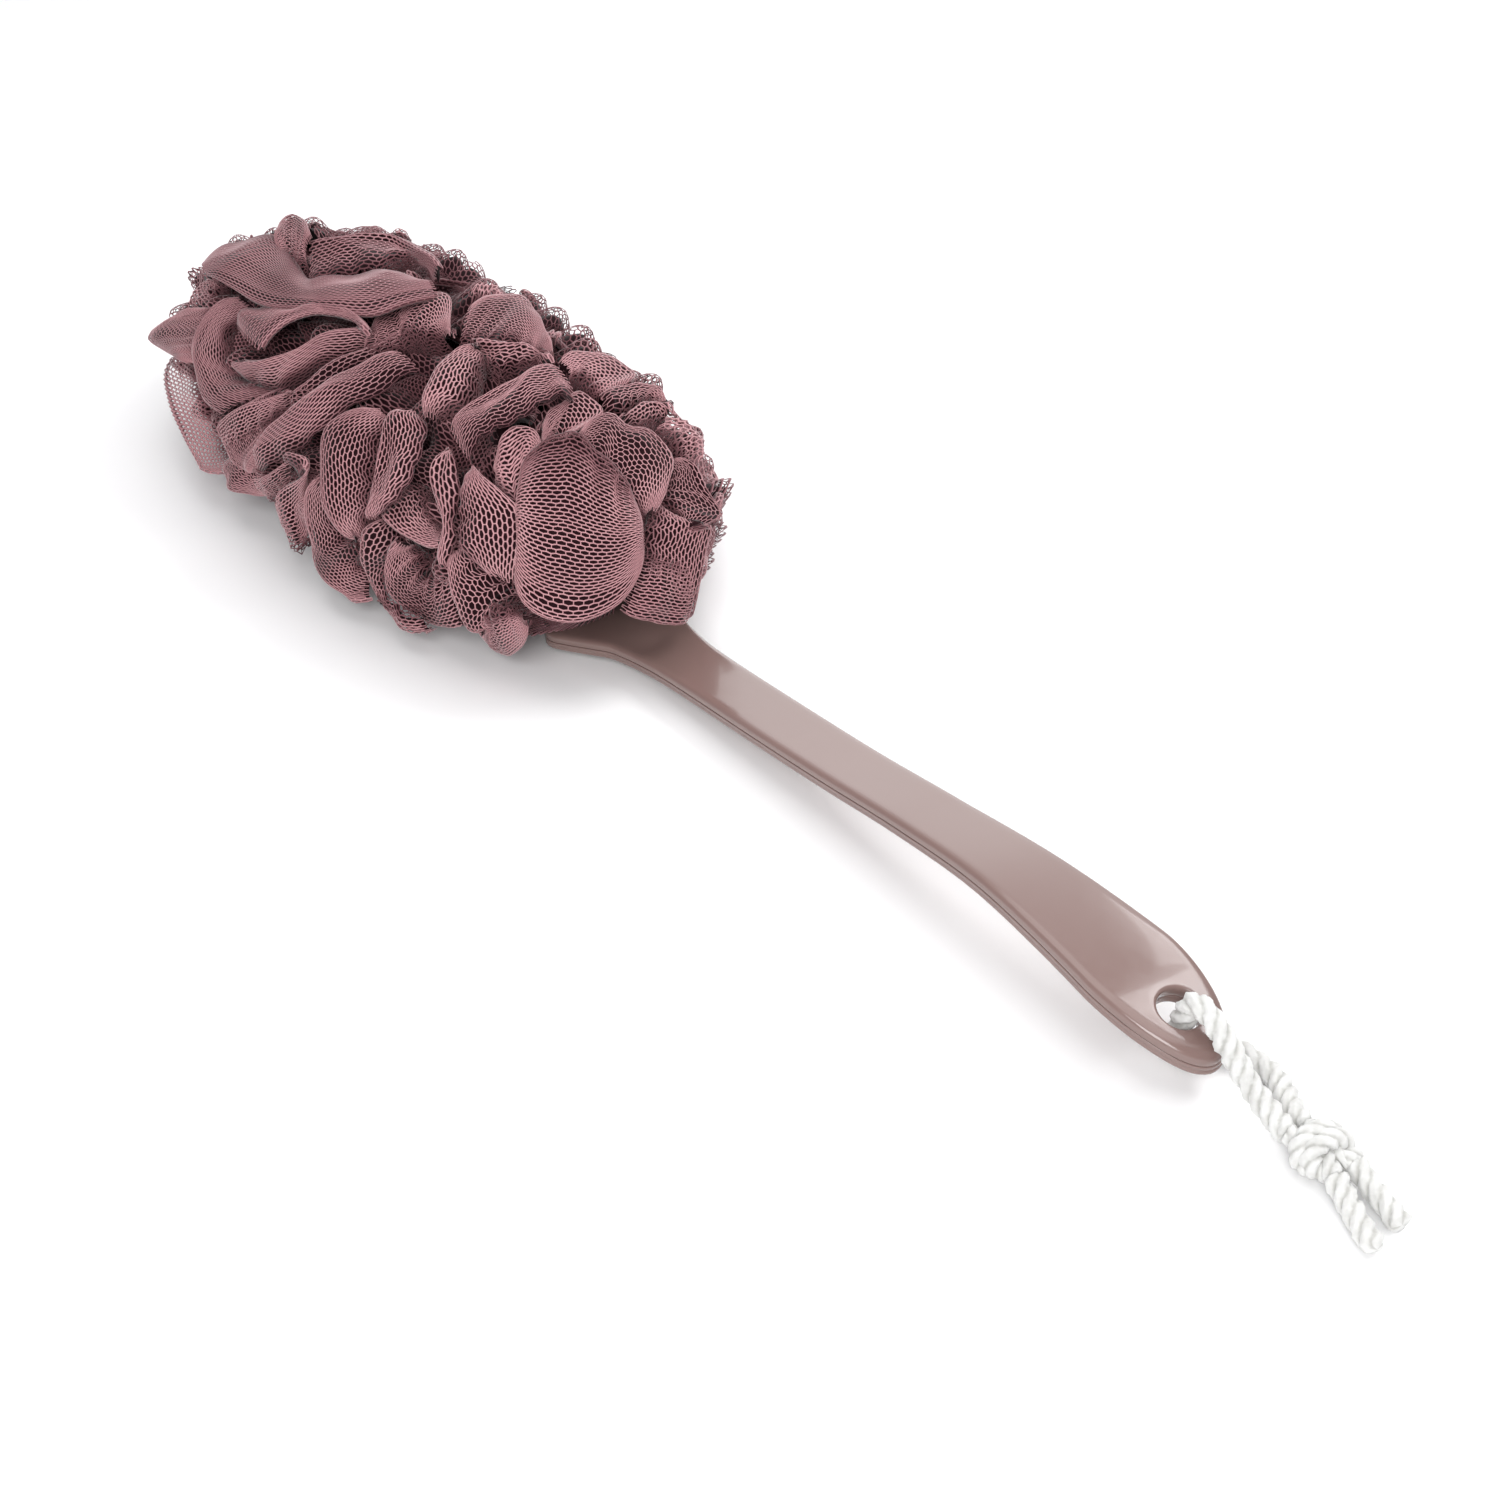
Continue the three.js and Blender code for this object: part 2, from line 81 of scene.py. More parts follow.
# The folds of netting seen in the photograph: rim is the edge of each, back the line where it goes under its
# neighbours, as x, y, z one after another in tenths of a millimetre. bulge is how far it swells (mm), open how
# far its meshes are stretched, lit a painted shade factor on its colour, behind how far its copy on the far side
# sinks (mm), and tuck, sides and pleat how far its back, its ends and its pleats move (mm).
LOBES = [
    dict(bulge=4.8, open=0.45, lit=0.76,  # upper_fold
         rim=[-1572, -374, 578, -1371, -379, 602, -1192, -370, 618, -999, -311, 653, -821, -234, 682, -786, -170, 700,
               -776, -38, 717],
         back=[-1692, -319, 540, -1672, -237, 586, -1527, -165, 634, -1233, -215, 643, -1170, -162, 660, -1091, -81,
               674, -933, 0, 680]),
    dict(bulge=-1.6, open=0.4, lit=0.8,  # upper_rear
         rim=[-1431, -98, 667, -1351, -39, 679, -1341, 43, 680, -1296, 106, 676, -1154, 96, 682, -1000, 88, 685],
         back=[-1283, -187, 618, -1242, -127, 634, -1194, -60, 645, -1175, 23, 647, -1172, 95, 641, -1004, 81, 645]),
    dict(bulge=2.4, open=0.35, lit=0.9,  # top_curl
         rim=[-1482, -183, 666, -1569, -120, 669, -1591, -65, 673, -1493, -73, 685, -1395, -105, 690],
         back=[-1414, -185, 631, -1387, -183, 634, -1370, -176, 636, -1360, -169, 639, -1359, -157, 642]),
    dict(bulge=1.6, open=0.35, behind=14, lit=0.9,  # rose_upper
         rim=[-1077, -459, 555, -1057, -405, 598, -1023, -347, 634, -953, -299, 658, -864, -264, 672, -764, -260,
               672],
         back=[-1327, -414, 517, -1301, -374, 551, -1219, -326, 585, -1114, -281, 611, -1025, -242, 627, -944, -213,
               637]),
    dict(bulge=2.4, open=0.15, behind=12,  # rose_lower
         rim=[-1202, -486, 480, -1114, -473, 498, -1026, -429, 542, -951, -374, 584, -899, -304, 623, -837, -247, 647,
               -794, -247, 646],
         back=[-1255, -464, 423, -1117, -457, 440, -1009, -437, 465, -947, -380, 519, -910, -337, 549, -864, -288,
               575, -851, -233, 598]),
    dict(bulge=2.4, open=0.6, behind=10,  # left_point
         rim=[-1622, -423, 457, -1803, -433, 353, -1887, -463, 279, -1729, -476, 298, -1502, -508, 358],
         back=[-1524, -373, 487, -1509, -409, 455, -1495, -440, 420, -1467, -464, 390, -1443, -479, 366]),
    dict(bulge=4.0, open=0.35, behind=8, lit=0.9,  # left_drum
         rim=[-1400, -360, 564, -1463, -408, 519, -1480, -457, 467, -1445, -496, 419, -1361, -528, 376, -1282, -547,
               342, -1196, -554, 331],
         back=[-1362, -323, 532, -1406, -381, 485, -1372, -421, 449, -1315, -454, 415, -1224, -471, 396, -1108, -466,
               411, -1026, -444, 443]),
    dict(bulge=1.6, kind='veil', open=0.6, behind=4,  # left_veil
         rim=[-1802, -452, 245, -1718, -503, 210, -1593, -546, 178, -1467, -571, 155, -1315, -584, 136, -1213, -567,
               131],
         back=[-1580, -454, 319, -1508, -475, 285, -1442, -488, 246, -1387, -486, 193, -1328, -501, 160, -1240, -539,
               148]),
    dict(bulge=0.8, kind='veil', open=0.2, behind=2,  # left_small
         rim=[-1702, -390, 437, -1724, -364, 456, -1702, -331, 492, -1639, -320, 516],
         back=[-1567, -368, 471, -1579, -347, 485, -1594, -326, 498, -1602, -308, 508]),
    dict(bulge=1.6, open=0.9, behind=10,  # wedge
         rim=[-1191, -559, 310, -1091, -537, 386, -993, -507, 441, -900, -465, 494],
         back=[-1228, -529, 193, -1078, -534, 296, -987, -508, 379, -926, -464, 449]),
    dict(bulge=3.2, kind='band', open=0.35, behind=12,  # diagonal
         rim=[-932, -562, 349, -911, -542, 398, -842, -497, 470, -800, -462, 511, -768, -397, 566, -730, -345, 599,
               -694, -245, 644],
         back=[-973, -560, 235, -852, -548, 326, -733, -510, 411, -681, -467, 470, -657, -411, 525, -604, -361, 559,
               -584, -222, 625]),
    dict(bulge=1.6, open=0.6, behind=6,  # diagonal_deep
         rim=[-1001, -515, 363, -959, -479, 428, -894, -408, 508, -872, -357, 547, -821, -280, 589, -783, -198, 620,
               -783, -53, 647],
         back=[-979, -478, 373, -925, -438, 435, -869, -390, 484, -834, -333, 526, -795, -268, 562, -763, -189, 591,
               -742, -81, 613]),
    dict(bulge=2.4, open=0.3,  # fold_right
         rim=[-846, -228, 621, -888, -167, 640, -900, -112, 651, -896, -41, 659, -871, 11, 659],
         back=[-817, -247, 593, -787, -221, 602, -763, -186, 613, -746, -130, 626, -737, -69, 634]),
    dict(bulge=3.2, open=0.15,  # upper_right
         rim=[-773, 59, 666, -772, 127, 657, -779, 207, 638, -691, 202, 637, -556, 151, 644, -397, 87, 640],
         back=[-628, -53, 642, -578, -26, 641, -536, 16, 639, -500, 61, 633, -455, 73, 628, -413, 80, 623]),
    dict(bulge=2.4, open=0.15,  # upper_mid
         rim=[-845, -122, 680, -849, -79, 685, -843, -35, 688, -810, -6, 689, -756, -12, 688, -675, -61, 683, -611,
               -103, 676],
         back=[-780, -164, 629, -741, -146, 633, -712, -128, 635, -689, -115, 637, -681, -100, 639, -677, -88, 641,
               -676, -79, 641]),
    dict(bulge=2.4, open=0.2,  # point_mid
         rim=[-394, -322, 584, -461, -275, 616, -513, -202, 648, -540, -132, 667, -532, -94, 673, -504, -95, 670],
         back=[-413, -282, 563, -398, -238, 581, -391, -195, 596, -435, -148, 613, -485, -96, 628, -522, -61, 635]),
    dict(bulge=0.8, open=0.6,  # lip_mid
         rim=[-543, -77, 675, -491, -29, 675, -438, 25, 670, -345, 39, 658],
         back=[-560, -57, 638, -468, -60, 630, -436, -27, 630, -405, 54, 624]),
    dict(bulge=1.6, kind='band', open=0.1,  # strip
         rim=[-291, -307, 609, -296, -247, 637, -291, -185, 657, -287, -122, 670, -291, -54, 679, -294, 28, 681],
         back=[-163, -328, 555, -182, -289, 582, -184, -235, 607, -175, -169, 627, -181, -93, 643, -154, 1, 644]),
    dict(bulge=2.4, open=0.2,  # small_mid
         rim=[-124, -277, 536, -169, -234, 570, -188, -176, 596, -161, -141, 599, -112, -144, 584, -83, -160, 571],
         back=[-121, -269, 505, -87, -272, 490, -46, -273, 471, -42, -256, 480, -76, -220, 514, -98, -185, 536]),
    dict(bulge=1.6, open=0.2,  # behind_strip
         rim=[-120, -136, 578, -184, -74, 606, -196, -14, 613, -217, 53, 615, -128, 60, 593, -90, -38, 584, -79, -104,
               573],
         back=[-134, -123, 544, -133, -111, 546, -136, -102, 549, -132, -98, 549, -120, -93, 546, -117, -88, 546,
               -115, -86, 546]),
    dict(bulge=3.6, sides=5, open=0.15, behind=10,  # shell
         rim=[108, -369, 386, 138, -378, 318, 184, -344, 276, 233, -283, 263, 266, -215, 280, 280, -151, 321, 268,
               -93, 392],
         back=[-50, -241, 552, -62, -196, 574, -57, -155, 585, -46, -120, 590, -30, -92, 590, 43, -73, 562, 173, -45,
               481]),
    dict(bulge=2.4, open=0.35, behind=10,  # shell_right
         rim=[-58, -58, 604, -79, 2, 613, -76, 56, 610, -23, 70, 591, 0, 113, 574, 51, 130, 547, 100, 120, 522, 153,
               64, 496, 190, -3, 468],
         back=[-30, -58, 573, -8, -60, 565, 28, -59, 549, 62, -56, 533, 89, -50, 518, 119, -44, 499, 142, -35, 482,
               156, -25, 472, 173, -11, 456]),
    dict(bulge=2.4, open=0.4, behind=6,  # right_point
         rim=[59, 147, 515, 72, 209, 481, 134, 204, 434, 172, 217, 377, 203, 153, 376, 215, 84, 387],
         back=[61, 128, 484, 94, 101, 470, 122, 74, 454, 131, 71, 447, 145, 74, 433, 172, 87, 397]),
    dict(bulge=1.6, kind='veil', open=0.5,  # right_veil
         rim=[-114, 260, 531, -98, 304, 499, -53, 316, 469, 11, 277, 465, 64, 221, 467],
         back=[-94, 197, 508, -83, 223, 492, -54, 230, 477, -26, 230, 463, 7, 227, 447]),
    dict(bulge=1.6, open=0.6,  # rear_right
         rim=[-357, 73, 647, -384, 130, 642, -372, 184, 628, -336, 241, 603, -290, 262, 587, -242, 236, 588, -206,
               181, 599],
         back=[-326, 91, 610, -312, 101, 606, -289, 106, 602, -256, 105, 596, -235, 105, 592, -223, 110, 589, -223,
               116, 587]),
    dict(bulge=2.4, open=0.4,  # rear_tube
         rim=[-189, 89, 615, -203, 152, 606, -220, 238, 582, -207, 291, 554, -135, 268, 545],
         back=[-152, 82, 577, -137, 106, 569, -168, 181, 558, -197, 248, 539, -157, 269, 517]),
    dict(bulge=1.6, open=0.5,  # rear_lip
         rim=[-79, 87, 586, -122, 164, 583, -135, 227, 564, -104, 250, 545],
         back=[-93, 109, 555, -97, 158, 545, -118, 214, 531, -126, 254, 515]),
    dict(bulge=0.8, kind='veil', open=0.6,  # tiny_a
         rim=[-906, 136, 636, -924, 188, 624, -905, 219, 615, -839, 200, 620],
         back=[-883, 127, 618, -879, 153, 613, -877, 180, 606, -869, 195, 601]),
    dict(bulge=0.8, kind='veil', open=0.6,  # tiny_b
         rim=[-557, 165, 620, -587, 211, 609, -551, 208, 607, -507, 174, 614],
         back=[-546, 163, 599, -539, 166, 598, -535, 170, 597, -531, 174, 595]),
    dict(bulge=2.4, kind='band', open=0.3, behind=8,  # triangle
         rim=[-159, -318, 547, -76, -307, 525, 16, -295, 489, 63, -327, 429, 90, -369, 333],
         back=[-164, -323, 534, -147, -361, 499, -111, -398, 448, -75, -420, 397, 9, -406, 345]),
    dict(bulge=2.4, open=0.5, behind=2,  # neck_right
         rim=[224, 76, 394, 216, 150, 376, 239, 120, 336, 255, 89, 278, 256, 71, 213, 226, 72, 124],
         back=[150, 37, 448, 172, 8, 425, 197, -32, 388, 216, -52, 340, 225, -72, 290, 226, -84, 251]),
    dict(bulge=2.4, open=0.2, behind=0,  # neck_front
         rim=[263, -163, 264, 269, -138, 240, 275, -94, 214, 274, -33, 178, 265, 41, 150],
         back=[217, -74, 360, 223, -47, 353, 228, -15, 344, 232, 22, 326, 234, 67, 302]),
    dict(bulge=1.6, kind='band', open=0.3, behind=10,  # tongue
         rim=[-367, -539, 371, -371, -514, 424, -393, -477, 482, -432, -432, 536, -469, -390, 575, -458, -359, 594],
         back=[-337, -520, 378, -297, -492, 416, -269, -451, 466, -283, -404, 518, -337, -347, 572, -415, -325, 597]),
    dict(bulge=3.2, open=0.2, behind=12,  # drape
         rim=[-536, -371, 571, -610, -422, 539, -658, -472, 494, -622, -513, 435, -572, -546, 362, -521, -557, 306,
               -396, -545, 289],
         back=[-540, -360, 543, -505, -401, 507, -476, -433, 472, -461, -464, 431, -446, -489, 387, -434, -507, 341,
               -424, -520, 279]),
    dict(bulge=2.4, open=0.3, behind=0,  # drape_low
         rim=[-644, -524, 376, -668, -547, 307, -667, -552, 212, -682, -554, 106, -587, -574, 97, -490, -561, 91,
               -419, -523, 90],
         back=[-647, -513, 317, -632, -520, 278, -588, -519, 237, -555, -512, 202, -482, -508, 216, -517, -486, 149,
               -485, -484, 114]),
    dict(bulge=1.6, open=0.5, behind=4,  # mouth
         rim=[-834, -579, 225, -776, -576, 281, -687, -559, 345, -645, -539, 392, -660, -528, 415, -724, -538, 402,
               -766, -548, 381],
         back=[-779, -561, 126, -739, -558, 124, -762, -518, 131, -744, -517, 226, -735, -514, 278, -747, -510, 308,
               -784, -507, 321]),
    dict(bulge=1.6, open=0.5, behind=4,  # mouth_left
         rim=[-958, -570, 234, -901, -569, 265, -831, -561, 315, -762, -539, 377],
         back=[-996, -518, 131, -953, -523, 164, -864, -539, 229, -831, -538, 268]),
    dict(bulge=0.8, open=0.2, behind=2,  # flap
         rim=[-354, -500, 381, -286, -493, 363, -228, -481, 358, -175, -465, 360, -132, -443, 375],
         back=[-344, -407, 429, -315, -401, 428, -268, -407, 406, -214, -412, 374, -187, -412, 358]),
    dict(bulge=0.8, kind='band', open=0.2, behind=6,  # twist
         rim=[-251, -331, 564, -259, -375, 535, -219, -408, 496, -146, -427, 446, -117, -449, 398, -110, -477, 331],
         back=[-252, -326, 556, -201, -335, 536, -144, -367, 493, -115, -406, 441, -85, -429, 389, -86, -457, 325]),
    dict(bulge=1.6, pleat=1.6, open=0.6, behind=0,  # fan
         rim=[-250, -505, 338, -279, -523, 290, -301, -527, 197, -309, -486, 110, -249, -441, 74, -91, -433, 129],
         back=[-272, -444, 306, -240, -442, 279, -218, -440, 253, -192, -432, 251, -166, -422, 272, -154, -415, 287]),
    dict(bulge=2.4, open=0.4, behind=0,  # side_drop
         rim=[-360, -498, 360, -403, -521, 313, -408, -530, 242, -447, -497, 125, -381, -496, 90, -227, -483, 78,
               -194, -454, 77],
         back=[-360, -468, 326, -324, -467, 307, -353, -481, 250, -401, -474, 177, -404, -474, 114, -309, -487, 105,
               -227, -475, 99]),
    dict(bulge=1.6, pleat=1.0, open=0.6, behind=0,  # low_right
         rim=[-91, -445, 364, -77, -459, 306, -54, -457, 229, -48, -432, 157, -10, -409, 150],
         back=[-98, -401, 362, -19, -376, 333, 46, -350, 292, 35, -363, 256, -5, -384, 208]),
    dict(bulge=1.6, tuck=6, open=0.2, behind=0,  # low_curl
         rim=[3, -422, 162, -64, -361, 56, -21, -339, 54, 84, -353, 138, 127, -355, 206, 124, -362, 237],
         back=[-2, -399, 186, 21, -395, 220, 39, -385, 237, 58, -373, 243, 76, -361, 238, 86, -351, 225]),
    dict(bulge=2.4, open=0.2,  # leaf_low_left
         rim=[-897, -548, 192, -936, -530, 123, -843, -547, 118, -757, -551, 113, -716, -539, 172, -649, -547, 274],
         back=[-865, -519, 252, -825, -517, 275, -785, -513, 296, -749, -509, 310, -716, -505, 319, -680, -503, 324]),
    dict(bulge=2.4, open=0.2,  # left_low_a
         rim=[-1236, -546, 292, -1213, -551, 254, -1165, -551, 217, -1110, -548, 195, -999, -554, 227],
         back=[-990, -443, 459, -973, -469, 426, -966, -493, 386, -962, -512, 342, -961, -525, 296]),
    dict(bulge=1.6, open=0.2,  # left_low_b
         rim=[-1256, -536, 140, -1188, -566, 130, -1118, -574, 125, -1065, -550, 126, -1011, -510, 130],
         back=[-1108, -518, 262, -1078, -519, 246, -1031, -520, 232, -994, -518, 217, -943, -516, 207]),
]
for lobe in LOBES:
    for key in ("rim", "back"):
        lobe[key] = (np.reshape(lobe[key], (-1, 3)) / 10).tolist()


# ---- Meshes ----

def mesh_piece(name, points, quads, material, body="scrubber", shade=None):
    """A piece from points in millimetres and faces of four corners, riding on a body."""
    mesh = bpy.data.meshes.new(name)
    points = np.asarray(points, float)
    quads = np.asarray(quads, np.int32)
    mesh.vertices.add(len(points))
    mesh.vertices.foreach_set("co", (points * MM).astype(np.float32).ravel())
    mesh.loops.add(quads.size)
    mesh.polygons.add(len(quads))
    mesh.polygons.foreach_set("loop_start", np.arange(0, quads.size, 4, dtype=np.int32))
    mesh.polygons.foreach_set("vertices", quads.ravel())
    mesh.polygons.foreach_set("use_smooth", np.ones(len(quads), bool))
    mesh.update(calc_edges=True)
    if shade is not None:
        mesh.attributes.new("shade", "FLOAT", "POINT").data.foreach_set("value", shade.astype(np.float32))
    piece = bpy.data.objects.new(name, mesh)
    bpy.context.scene.collection.objects.link(piece)
    piece.data.materials.append(material)
    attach(piece, body)
    return piece


def unit(vectors):
    return vectors / np.maximum(np.linalg.norm(vectors, axis=-1, keepdims=True), 1e-9)


def smooth_step(t):
    t = np.clip(t, 0, 1)
    return t * t * (3 - 2 * t)


def spline(points, steps):
    """A Catmull-Rom curve through the points."""
    points = np.asarray(points, float)
    padded = np.vstack([points[:1], points, points[-1:]])
    t = np.linspace(0, 1, steps, endpoint=False)[:, None]
    parts = []
    for p0, p1, p2, p3 in zip(padded, padded[1:], padded[2:], padded[3:]):
        parts.append(0.5 * (2 * p1 + (p2 - p0) * t + (2 * p0 - 5 * p1 + 4 * p2 - p3) * t ** 2
                            + (3 * p1 - p0 - 3 * p2 + p3) * t ** 3))
    return np.vstack([*parts, points[-1:]])


def walk(line):
    """How far along a line each of its points is."""
    return np.r_[0, np.cumsum(np.linalg.norm(np.diff(line, axis=0), axis=1))]


def sampled(line, at, walked):
    """Points of a line at those distances along it."""
    return np.stack([np.interp(at, walked, line[:, k]) for k in range(line.shape[1])], -1)


def resample(points, spacing):
    """The same line with even steps of about that length."""
    walked = walk(points)
    at = np.linspace(0, walked[-1], max(2, round(walked[-1] / spacing) + 1))
    return sampled(points, at, walked)


def loop_quads(first, second):
    """Faces between two closed loops of vertex numbers."""
    first, second = np.asarray(first), np.asarray(second)
    return np.stack([first, np.roll(first, -1), np.roll(second, -1), second], 1)


# ---- Materials ----

def new_material(name):
    material = bpy.data.materials.new(name)
    material.use_nodes = True
    nodes, links = material.node_tree.nodes, material.node_tree.links
    place = nodes.new("ShaderNodeTexCoord").outputs["Object"]
    return material, nodes, links, nodes["Principled BSDF"], place


def noise(nodes, links, place, scale, detail=3.0, rough=0.5):
    node = nodes.new("ShaderNodeTexNoise")
    node.inputs["Scale"].default_value = scale
    node.inputs["Detail"].default_value = detail
    node.inputs["Roughness"].default_value = rough
    links.new(place, node.inputs["Vector"])
    return node.outputs["Fac"]


def ramp(nodes, links, factor, stops):
    node = nodes.new("ShaderNodeValToRGB")
    while len(node.color_ramp.elements) < len(stops):
        node.color_ramp.elements.new(0.5)
    for element, (position, colour) in zip(node.color_ramp.elements, stops):
        element.position = position
        element.color = (*colour, 1)
    links.new(factor, node.inputs["Fac"])
    return node.outputs["Color"]


def spread(nodes, links, factor, low, high):
    node = nodes.new("ShaderNodeMapRange")
    node.inputs["From Min"].default_value = 0.3
    node.inputs["From Max"].default_value = 0.7
    node.inputs["To Min"].default_value = low
    node.inputs["To Max"].default_value = high
    links.new(factor, node.inputs["Value"])
    return node.outputs["Result"]


def bump(nodes, links, height, distance, strength):
    node = nodes.new("ShaderNodeBump")
    node.inputs["Distance"].default_value = distance
    node.inputs["Strength"].default_value = strength
    links.new(height, node.inputs["Height"])
    return node.outputs["Normal"]


def shade_of(nodes):
    """Painted shade, stored with the mesh: how much light a point is taken to get, which darkens its colour."""
    shade = nodes.new("ShaderNodeAttribute")
    shade.attribute_name = "shade"
    return shade.outputs["Fac"]


def multiplied(nodes, links, first, second):
    both = nodes.new("ShaderNodeMix")
    both.data_type = "RGBA"
    both.blend_type = "MULTIPLY"
    both.inputs["Factor"].default_value = 1.0
    links.new(first, both.inputs[6])
    links.new(second, both.inputs[7])
    return both.outputs[2]


def plastic_material():
    material, nodes, links, shader, place = new_material("mauve_gloss_plastic")
    broad = noise(nodes, links, place, 18, 2)
    links.new(ramp(nodes, links, broad, [(0.3, (0.186, 0.119, 0.107)), (0.7, (0.199, 0.128, 0.115))]),
              shader.inputs["Base Color"])
    haze = noise(nodes, links, place, 260, 4)
    links.new(spread(nodes, links, haze, 0.17, 0.24), shader.inputs["Roughness"])
    peel = noise(nodes, links, place, 420, 2)
    links.new(bump(nodes, links, peel, 0.0002, 0.06), shader.inputs["Normal"])
    shader.inputs["Coat Weight"].default_value = 0.35
    shader.inputs["Coat Roughness"].default_value = 0.06
    shader.inputs["IOR"].default_value = 1.5
    return material


def netting_material():
    material, nodes, links, shader, place = new_material("mauve_netting")
    broad = noise(nodes, links, place, 45, 3)
    thread = ramp(nodes, links, broad, [(0.3, (0.485, 0.236, 0.252)), (0.5, (0.55, 0.278, 0.294)),
                                        (0.72, (0.605, 0.317, 0.332))])
    # Painted shade: the shade attribute darkens the thread colour where the net lies in shade.
    shade = shade_of(nodes)
    depth = ramp(nodes, links, shade, [(0.0, (0.035, 0.022, 0.028)), (0.5, (0.42, 0.36, 0.38)), (1.0, (1, 1, 1))])
    links.new(multiplied(nodes, links, thread, depth), shader.inputs["Base Color"])
    # Painted shade also lowers the gloss where that shade is deep.
    links.new(spread(nodes, links, shade, 0.02, 0.5), shader.inputs["Specular IOR Level"])
    fibre = noise(nodes, links, place, 2400, 2)
    links.new(spread(nodes, links, fibre, 0.42, 0.62), shader.inputs["Roughness"])
    links.new(bump(nodes, links, fibre, 0.0002, 0.35), shader.inputs["Normal"])
    shader.inputs["Sheen Weight"].default_value = 0.25
    shader.inputs["Sheen Roughness"].default_value = 0.4
    return material


def cotton_material():
    material, nodes, links, shader, place = new_material("white_cotton")
    broad = noise(nodes, links, place, 300, 4)
    yarn = ramp(nodes, links, broad, [(0.3, (0.58, 0.577, 0.56)), (0.6, (0.67, 0.67, 0.657))])
    # Painted shade: the shade attribute darkens the grooves between the strands.
    depth = ramp(nodes, links, shade_of(nodes), [(0.0, (0.68, 0.675, 0.655)), (0.5, (0.90, 0.90, 0.89)),
                                                 (1.0, (1, 1, 1))])
    links.new(multiplied(nodes, links, yarn, depth), shader.inputs["Base Color"])
    fibre = noise(nodes, links, place, 3200, 4, 0.7)
    links.new(spread(nodes, links, fibre, 0.8, 0.95), shader.inputs["Roughness"])
    links.new(bump(nodes, links, fibre, 0.0003, 0.5), shader.inputs["Normal"])
    shader.inputs["Sheen Weight"].default_value = 0.4
    shader.inputs["Sheen Roughness"].default_value = 0.5
    return material


def tie_material():
    material, nodes, links, shader, place = new_material("tie_cord")
    fibre = noise(nodes, links, place, 2600, 3)
    links.new(ramp(nodes, links, fibre, [(0.35, (0.24, 0.13, 0.14)), (0.65, (0.36, 0.21, 0.22))]),
              shader.inputs["Base Color"])
    links.new(bump(nodes, links, fibre, 0.0003, 0.6), shader.inputs["Normal"])
    shader.inputs["Roughness"].default_value = 0.75
    return material


def floor_material():
    material, nodes, links, shader, place = new_material("pale_floor")
    broad = noise(nodes, links, place, 5, 3)
    links.new(ramp(nodes, links, broad, [(0.3, (0.885, 0.88, 0.885)), (0.7, (0.91, 0.91, 0.91))]),
              shader.inputs["Base Color"])
    shader.inputs["Roughness"].default_value = 0.65
    return material


# ---- Rope ----

STRAND_OFFSET, STRAND_RADIUS = 0.38, 0.62  # of the rope's radius
STRAND_PITCH = 10.5


def rope_points(route, diameter, pitch, end_rounding, sides=48, step=0.4, phase=0.0):
    """The surface of a laid three-strand rope along a route: points, faces, a painted shade that is darker in the
    grooves between strands, and its line.
    """
    line = resample(spline(route, 24), step)
    tangent = unit(np.gradient(line, axis=0))
    side = unit(np.cross(tangent[0], [0.0, 0.0, 1.0]) + 1e-6)
    frames = []
    for way in tangent:
        side = unit(side - way * (side @ way))
        frames.append((side, np.cross(way, side)))
    across = np.array([f[0] for f in frames])
    over = np.array([f[1] for f in frames])
    walked = np.arange(len(line)) * np.linalg.norm(line[1] - line[0])
    turn = 2 * math.pi * walked / pitch + phase
    angle = np.linspace(0, 2 * math.pi, sides, endpoint=False)
    third = 2 * math.pi / 3
    local = (angle[None, :] - turn[:, None] + third / 2) % third - third / 2
    bend = STRAND_RADIUS ** 2 - (STRAND_OFFSET * np.sin(local)) ** 2
    radius = STRAND_OFFSET * np.cos(local) + np.sqrt(np.maximum(bend, 0))
    yarn = np.arctan2(radius * np.sin(local), radius * np.cos(local) - STRAND_OFFSET)
    radius = radius + 0.035 * np.cos(6 * yarn + 2 * math.pi * walked[:, None] / 2.0)
    rough = sum(np.sin(a * walked[:, None] + b * angle + c) for a, b, c in
                ((3.1, 4, 0.3), (4.7, -5, 1.9), (6.3, 7, 4.0), (2.2, -3, 5.1)))
    radius = radius + 0.022 * rough
    # Painted shade: darker in the grooves between the strands.
    shade = smooth_step((radius - 0.71) / 0.26)
    loose = np.sin(walked * 0.9 + phase) * 0.02 + np.sin(walked * 0.37 + 2 * phase) * 0.02
    radius = radius * (1 + loose[:, None])
    shrink = np.ones(len(line))
    for reach, at_end in zip(end_rounding, (walked, walked[-1] - walked)):
        if reach:
            near = np.clip(at_end / reach, 0, 1)
            shrink = shrink * np.sqrt(np.clip(1 - (1 - near) ** 2, 0.0025, 1))
    radius = radius * shrink[:, None] * diameter / 2
    points = (line[:, None, :] + across[:, None, :] * (radius * np.cos(angle))[..., None]
              + over[:, None, :] * (radius * np.sin(angle))[..., None])
    rings = np.arange(len(line) * sides).reshape(len(line), sides)
    faces = [loop_quads(a, b) for a, b in zip(rings, rings[1:])]
    points = np.vstack([points.reshape(-1, 3), line[0], line[-1]])
    count = len(line) * sides
    for ring, centre in ((rings[0][::-1], count), (rings[-1], count + 1)):
        pairs = ring.reshape(-1, 2)
        after = np.roll(ring, -2).reshape(-1, 2)[:, 0]
        faces.append(np.stack([pairs[:, 0], pairs[:, 1], after, np.full(len(pairs), centre)], 1))
    return points, np.vstack(faces), np.r_[shade.reshape(-1), 0.5, 0.5], line


def joined(parts):
    """Several (points, faces, values of the points, ...) as one."""
    starts = np.cumsum([0, *[len(part[0]) for part in parts]])
    points = np.vstack([part[0] for part in parts])
    faces = np.vstack([part[1] + start for part, start in zip(parts, starts)])
    return points, faces, *[np.concatenate(values) for values in list(zip(*parts))[2:]]


